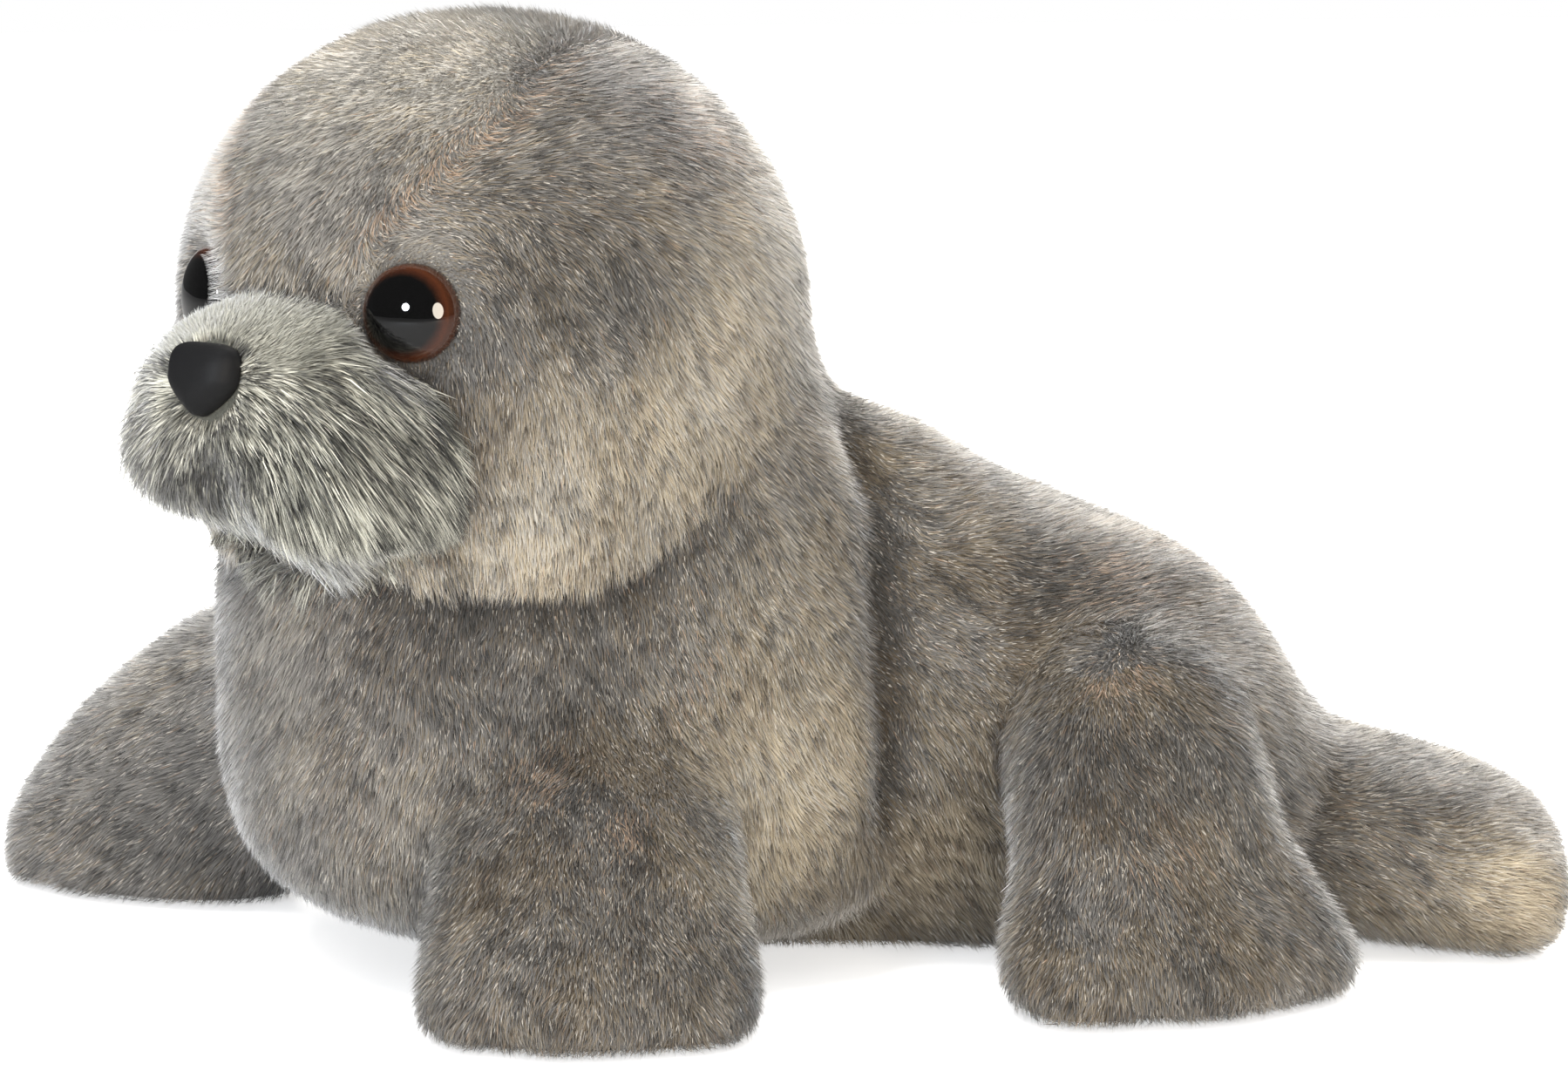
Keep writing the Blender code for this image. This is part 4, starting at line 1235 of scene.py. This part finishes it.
class SEAL_OT_nose(bpy.types.Operator):
    """Mould the nose"""
    bl_idname = "seal.nose"
    bl_label = "Nose"

    def execute(self, context):
        shade = tuple(context.scene.seal_colours.nose)
        made = moulded_plastic("moulded_abs_nose", shade, 0.55, 0.00035)
        profile = [(0, -0.0120), (0.18, -0.0120), (0.26, -0.0110), (0.26, -0.0002),
                   (0.90, 0.0), (0.975, 0.0004), (1.0, 0.0012), (0.995, 0.0019)]
        for step in range(1, 20):
            angle = math.pi / 2 * step / 20
            profile.append((0.995 * math.cos(angle)**0.75,
                            0.0019 + (NOSE_DOME - 0.0019) * math.sin(angle)))
        profile.append((0, NOSE_DOME))
        item = add_object("moulded_nose", turned_mesh("nose", profile, nose_outline(96)),
                          made)
        origin, way = fitting_frame("nose")
        stand_on(item, origin, way)
        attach(item, "root")
        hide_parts("nose")
        return {'FINISHED'}


class SEAL_OT_washers(bpy.types.Operator):
    """Give the lock washers behind eyes and nose their plastic"""
    bl_idname = "seal.washers"
    bl_label = "Lock Washers"

    def execute(self, context):
        shade = tuple(context.scene.seal_colours.washer)
        made = moulded_plastic("moulded_nylon_washer", shade, 0.45, 0.0005)
        for name in ("eye_washer_left", "eye_washer_right", "nose_washer"):
            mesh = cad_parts[name].data
            mesh.materials.clear()
            mesh.materials.append(made)
        return {'FINISHED'}


class SEAL_OT_studio(bpy.types.Operator):
    """Set up floor, lamps and camera"""
    bl_idname = "seal.studio"
    bl_label = "Studio"

    def execute(self, context):
        self.floor(context)
        self.light(context)
        self.camera(context)
        context.scene.view_settings.view_transform = 'Standard'
        return {'FINISHED'}

    def floor(self, context):
        """A pale floor that shows white where lit, keeps a soft shadow and is darker as
        the eyes mirror it."""
        made, tree = new_material("painted_floor")
        path = add_node(tree, "LightPath")
        glow = add_node(tree, "Math", {0: path.outputs["Is Camera Ray"], 1: FLOOR_GLOW},
                        operation='MULTIPLY')
        base = tuple(context.scene.seal_colours.floor)
        shade = add_node(tree, "Mix",
                         {"Factor": path.outputs["Is Glossy Ray"], "A": (*base, 1.0),
                          "B": (*(v * FLOOR_MIRRORED for v in base), 1.0)}, data_type='RGBA')
        paint = add_node(tree, "BsdfDiffuse", {"Color": shade.outputs["Result"]})
        white = add_node(tree, "Emission", {"Strength": glow.outputs[0]})
        both = add_node(tree, "AddShader",
                        {0: paint.outputs[0], 1: white.outputs[0]})
        add_node(tree, "OutputMaterial", {"Surface": both.outputs[0]})
        mesh = bpy.data.meshes.new("floor")
        mesh.from_pydata([(-3, -3, 0), (3, -3, 0), (3, 3, 0), (-3, 3, 0)], [], [(0, 1, 2, 3)])
        item = add_object("floor", mesh, made)
        item.location.z = -0.0002

    def light(self, context):
        """A soft surround, two small lamps at the seal's left that the eyes mirror, and
        wide ones above and behind."""
        world = bpy.data.worlds.new("studio")
        world.use_nodes = True
        tree = world.node_tree
        tree.nodes.clear()
        path = add_node(tree, "LightPath")
        place = add_node(tree, "TexCoord")
        parts = add_node(tree, "SeparateXYZ", {"Vector": place.outputs["Generated"]})
        height = add_node(tree, "MapRange",
                          {"Value": parts.outputs["Z"], "From Min": -0.2, "From Max": 0.9,
                           "To Min": 0.28, "To Max": 1.25})
        level = add_node(tree, "Mix",
                         {"Factor": path.outputs["Is Camera Ray"],
                          "A": height.outputs["Result"], "B": 1.0}, data_type='FLOAT')
        mirrored = add_node(tree, "Mix",
                            {"Factor": path.outputs["Is Glossy Ray"],
                             "A": level.outputs["Result"], "B": SKY_MIRRORED}, data_type='FLOAT')
        sky = add_node(tree, "Background", {"Color": (1.0, 1.0, 1.0, 1.0),
                                                      "Strength": mirrored.outputs["Result"]})
        add_node(tree, "OutputWorld", {"Surface": sky.outputs[0]})
        context.scene.world = world
        for name, place, size, watts, tint in LAMPS:
            lamp = bpy.data.lights.new(name, 'AREA')
            lamp.shape = 'DISK'
            lamp.size = size
            lamp.energy = watts
            lamp.color = linear(tint)
            item = bpy.data.objects.new(name, lamp)
            item.visible_glossy = name != "top_lamp"
            item.location = place
            toward = Vector(LAMP_TARGET) - Vector(place)
            item.rotation_euler = toward.to_track_quat('-Z', 'Y').to_euler()
            context.scene.collection.objects.link(item)

    def camera(self, context):
        """The photograph's view: from the seal's left, a little ahead, 9 degrees up."""
        azimuth, elevation, away = math.radians(80), math.radians(9), 0.95
        target = Vector((0.0704, -0.0327, 0.092))
        back = Vector((math.sin(azimuth) * math.cos(elevation),
                       -math.cos(azimuth) * math.cos(elevation), math.sin(elevation)))
        lens = bpy.data.cameras.new("camera")
        lens.lens = 120
        lens.sensor_width = 36
        lens.sensor_fit = 'HORIZONTAL'
        lens.clip_start = 0.01
        item = bpy.data.objects.new("camera", lens)
        item.location = target + back * away
        item.rotation_euler = (-back).to_track_quat('-Z', 'Y').to_euler()
        context.scene.collection.objects.link(item)
        context.scene.camera = item


OPERATORS = (SEAL_OT_mats, SEAL_OT_head_pile, SEAL_OT_body_pile, SEAL_OT_flipper_pile,
             SEAL_OT_muzzle_pile, SEAL_OT_eyes, SEAL_OT_nose, SEAL_OT_washers,
             SEAL_OT_studio)


class SEAL_PT_panel(bpy.types.Panel):
    """Sizes, colours and steps of the plush seal"""
    bl_idname = "SEAL_PT_panel"
    bl_label = "Plush Seal"
    bl_space_type = 'VIEW_3D'
    bl_region_type = 'UI'
    bl_category = "Seal"

    def draw(self, context):
        for group in (context.scene.seal_sizes, context.scene.seal_counts,
                      context.scene.seal_colours):
            for name in group.__annotations__:
                self.layout.prop(group, name)
        for operator in OPERATORS:
            self.layout.operator(operator.bl_idname)


CLASSES = (SealSizes, SealCounts, SealColours) + OPERATORS + (SEAL_PT_panel,)


def register():
    for item in CLASSES:
        bpy.utils.register_class(item)
    bpy.types.Scene.seal_sizes = PointerProperty(type=SealSizes)
    bpy.types.Scene.seal_counts = PointerProperty(type=SealCounts)
    bpy.types.Scene.seal_colours = PointerProperty(type=SealColours)


def unregister():
    del bpy.types.Scene.seal_colours
    del bpy.types.Scene.seal_counts
    del bpy.types.Scene.seal_sizes
    for item in reversed(CLASSES):
        bpy.utils.unregister_class(item)


def main():
    """Build every piece in order."""
    register()
    for operator in OPERATORS:
        group, step = operator.bl_idname.split(".")
        getattr(getattr(bpy.ops, group), step)()


if __name__ == "__main__":
    main()
